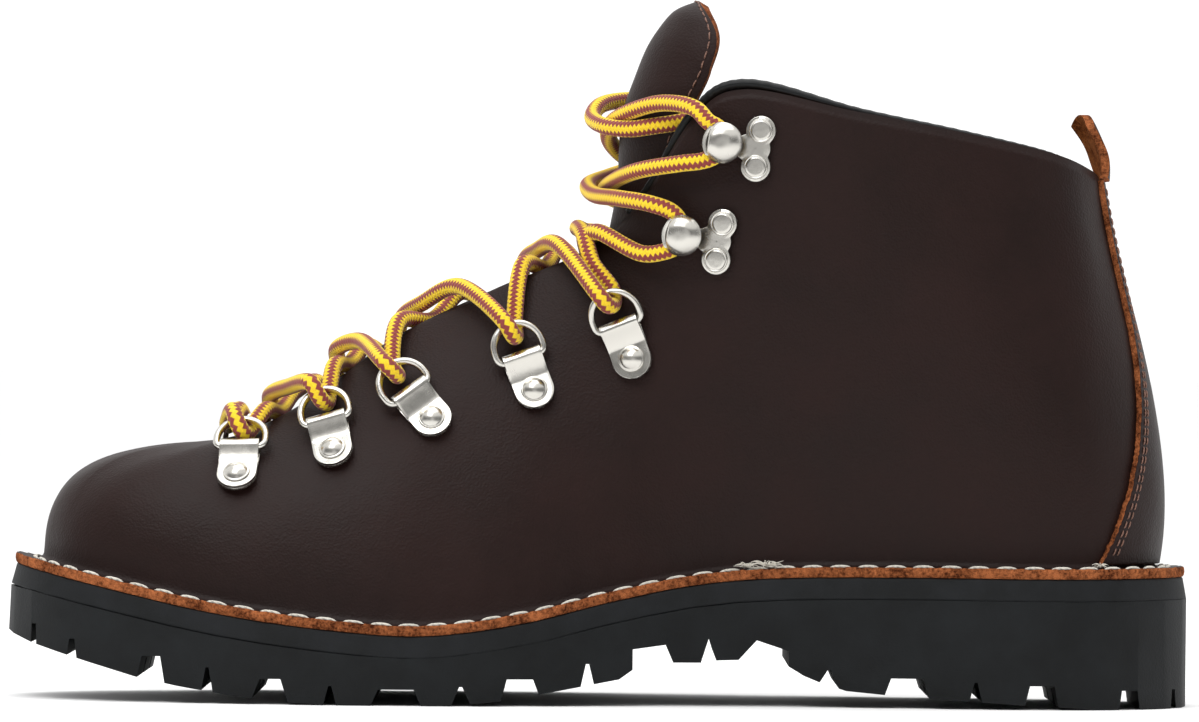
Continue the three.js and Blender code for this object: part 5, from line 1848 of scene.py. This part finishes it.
@dataclass
class Sole:
    """Rubber sole pieces and the boards inside: CAD shapes with finished edges and materials."""

    maker: Maker
    lip: float = 0.9  # outsole edge outside the flange edge
    toe_lip: float = 1.3
    height: float = 5.6  # of the midsole, let into the outsole
    gap: float = 0.12  # between flange and midsole
    inside: float = 2.0  # how far under the upper the midsole's section reaches
    tread_edge: float = 0.7  # radius of the moulded edges
    tread_angle: float = 28.0  # degrees; sharper folds are rounded
    hidden: tuple[tuple[str, Finish], ...] = (
        ("shank", SPRING_STEEL),
        ("insole_board", BOARD),
        ("footbed", FOAM),
        ("toe_stiffener", BOARD),
        ("heel_stiffener", BOARD),
    )

    def build(self) -> None:
        """Dresses the sole's nodes."""
        self.outsole("outsole")
        self.band()
        for node, finish in self.hidden:
            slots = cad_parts[node].data.materials
            slots.clear()
            slots.append(finish.material())

    def outsole(self, node: str) -> None:
        """The lugged outsole: a merged copy of its CAD node with its moulded edges rounded.

        Args:
            node: the CAD node's name.
        """
        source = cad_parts[node].data
        co = np.empty(len(source.vertices) * 3)
        source.vertices.foreach_get("co", co)
        corners = np.array([list(p.vertices) for p in source.polygons])
        keys, index = np.unique(np.round(co.reshape(-1, 3) * 1e6).astype(np.int64), axis=0, return_inverse=True)
        points = keys / 1e6 / MM - self.maker.last.shift
        corners = index.reshape(-1)[corners]
        faces = np.concatenate([corners, corners[:, :1]], axis=1)
        surface = Surface(points, faces, np.zeros(len(faces), dtype=int))
        obj = self.maker.piece("lugged_outsole", surface, [TREAD_RUBBER], Body.BOOT, "rubber", node)
        bevelled(obj, self.tread_edge, 2, self.tread_angle)
        obj.data.set_sharp_from_angle(angle=math.radians(self.tread_angle))

    def band(self) -> None:
        """The midsole: its wall leans out from under the flange to the outsole's top edge.

        The section runs round a slab: top inside, top outside, a leaning, slightly bowed wall, bottom outside,
        bottom inside. The lip is widest at the toe, falling off with the square of the distance.
        """
        last = self.maker.last
        u = np.linspace(0, last.turn, 360, endpoint=False)
        wrapped = np.minimum(u, last.turn - u)
        lip = self.lip + (self.toe_lip - self.lip) * np.clip(1 - wrapped / 4, 0, 1) ** 2
        top = -last.flange - self.gap
        foot = top - self.height - 0.02
        rows = [
            last.feather(u, -self.inside, top),
            last.flange_edge(u, -0.5, top),
            last.flange_edge(u, -0.2, top - 0.25),
        ]
        for f in (0.15, 0.3, 0.45, 0.6, 0.75, 0.9, 1.0):
            out = (lip + 0.1) * f**1.3 + 0.09 * math.sin(math.pi * f) - 0.2
            rows.append(last.flange_edge(u, out, top - self.height * f))
        rows += [last.flange_edge(u, -0.6, foot), last.feather(u, -self.inside, foot)]
        surface = loft(np.stack(rows, axis=1), wrap_rows=True)
        self.maker.piece("midsole_band", surface, [RUBBER], Body.BOOT, "rubber", "midsole")


# --------------------------------------------------------------------------------------------------
# Studio
# --------------------------------------------------------------------------------------------------


@dataclass
class Studio:
    """White floor, soft light and the long-lens camera at the boot's own height."""

    width: float = 0.3161  # of the view, at the boot
    distance: float = 2.3
    centre: Point2 = (-0.0004, 0.0894)
    roll: float = 0.0104
    sensor: float = 36.0
    far: float = 50.0
    half_floor: float = 60.0
    # Name, place, size and power of the lamps.
    lamps: tuple[tuple[str, Point, float, float], ...] = (
        ("key", (-0.45, -0.8, 1.2), 0.8, 9.0),
        ("top", (0.1, 0.1, 1.4), 1.2, 8.0),
    )
    aim: Point = (0, 0, 0.08)
    bright: float = 1.15  # the room behind and above the boot
    front: float = 0.7  # a soft panel round the camera
    dark: float = 0.26  # the room on the camera's side

    def build(self) -> None:
        """Makes the camera, the lights and the floor."""
        self.camera()
        self.lights()
        self.floor()
        view = bpy.context.scene.view_settings
        view.view_transform = "Standard"
        view.look = "None"

    def camera(self) -> None:
        """A level camera looking along +Y."""
        data = bpy.data.cameras.new("camera")
        data.sensor_width = self.sensor
        data.lens = self.sensor * self.distance / self.width
        data.clip_end = self.far
        cam = bpy.data.objects.new("camera", data)
        cam.location = (self.centre[0], -self.distance, self.centre[1])
        cam.rotation_mode = "QUATERNION"
        cam.rotation_quaternion = Quaternion((1, 0, 0), math.pi / 2) @ Quaternion((0, 0, 1), self.roll)
        bpy.context.scene.collection.objects.link(cam)
        bpy.context.scene.camera = cam

    def lights(self) -> None:
        """A white room that is bright behind and above the boot, a broad key in front and a softer one on top."""
        world = bpy.data.worlds.new("white room")
        world.use_nodes = True
        tree = world.node_tree
        ray = add_node(tree, "TexCoord", {}, {}).outputs["Generated"]
        split = add_node(tree, "SeparateXYZ", {}, {0: ray})
        _, along, up = split.outputs
        ahead = remap(tree, along, (-0.25, self.dark), (0.1, self.bright), soft=True)
        above = remap(tree, up, (0.35, self.dark), (0.6, self.bright), soft=True)
        front = remap(tree, along, (-0.97, self.front), (-0.9, 0.0), soft=True)
        room = add_node(tree, "Math", {"operation": "MAXIMUM"}, {0: ahead, 1: above}).outputs[0]
        level = add_node(tree, "Math", {"operation": "MAXIMUM"}, {0: room, 1: front}).outputs[0]
        back = tree.nodes["Background"]
        back.inputs[0].default_value = (1, 1, 1, 1)
        tree.links.new(level, back.inputs[1])
        bpy.context.scene.world = world
        for name, place, size, power in self.lamps:
            data = bpy.data.lights.new(name, "AREA")
            data.shape = "SQUARE"
            data.size = size
            data.energy = power
            lamp = bpy.data.objects.new(name, data)
            lamp.location = place
            lamp.rotation_mode = "QUATERNION"
            lamp.rotation_quaternion = look_at(place, self.aim)
            bpy.context.scene.collection.objects.link(lamp)

    def floor(self) -> None:
        """A plain white floor at the ground, wide enough to reach the horizon."""
        mesh = bpy.data.meshes.new("floor")
        r = self.half_floor
        mesh.from_pydata([(-r, -r, 0), (r, -r, 0), (r, r, 0), (-r, r, 0)], [], [(0, 1, 2, 3)])
        obj = bpy.data.objects.new("floor", mesh)
        bpy.context.scene.collection.objects.link(obj)
        mesh.materials.append(Finish("white studio floor", "#fafafa", 0.9).material())


def look_at(place: Point, target: Point) -> Quaternion:
    """The turn that points a lamp's -Z from place to target."""
    return (Vector(target) - Vector(place)).to_track_quat("-Z", "Y")


def main() -> None:
    """Builds the boot round its frame, one sub-assembly at a time."""
    logging.basicConfig(level=logging.INFO, format="%(name)s: %(message)s")
    Studio().build()
    maker = Maker(Last())
    for assembly in (Lace(maker), Upper(maker), Tongue(maker), Hardware(maker), Sole(maker)):
        assembly.build()
        LOG.info("%s done", type(assembly).__name__)


if __name__ == "__main__":
    main()
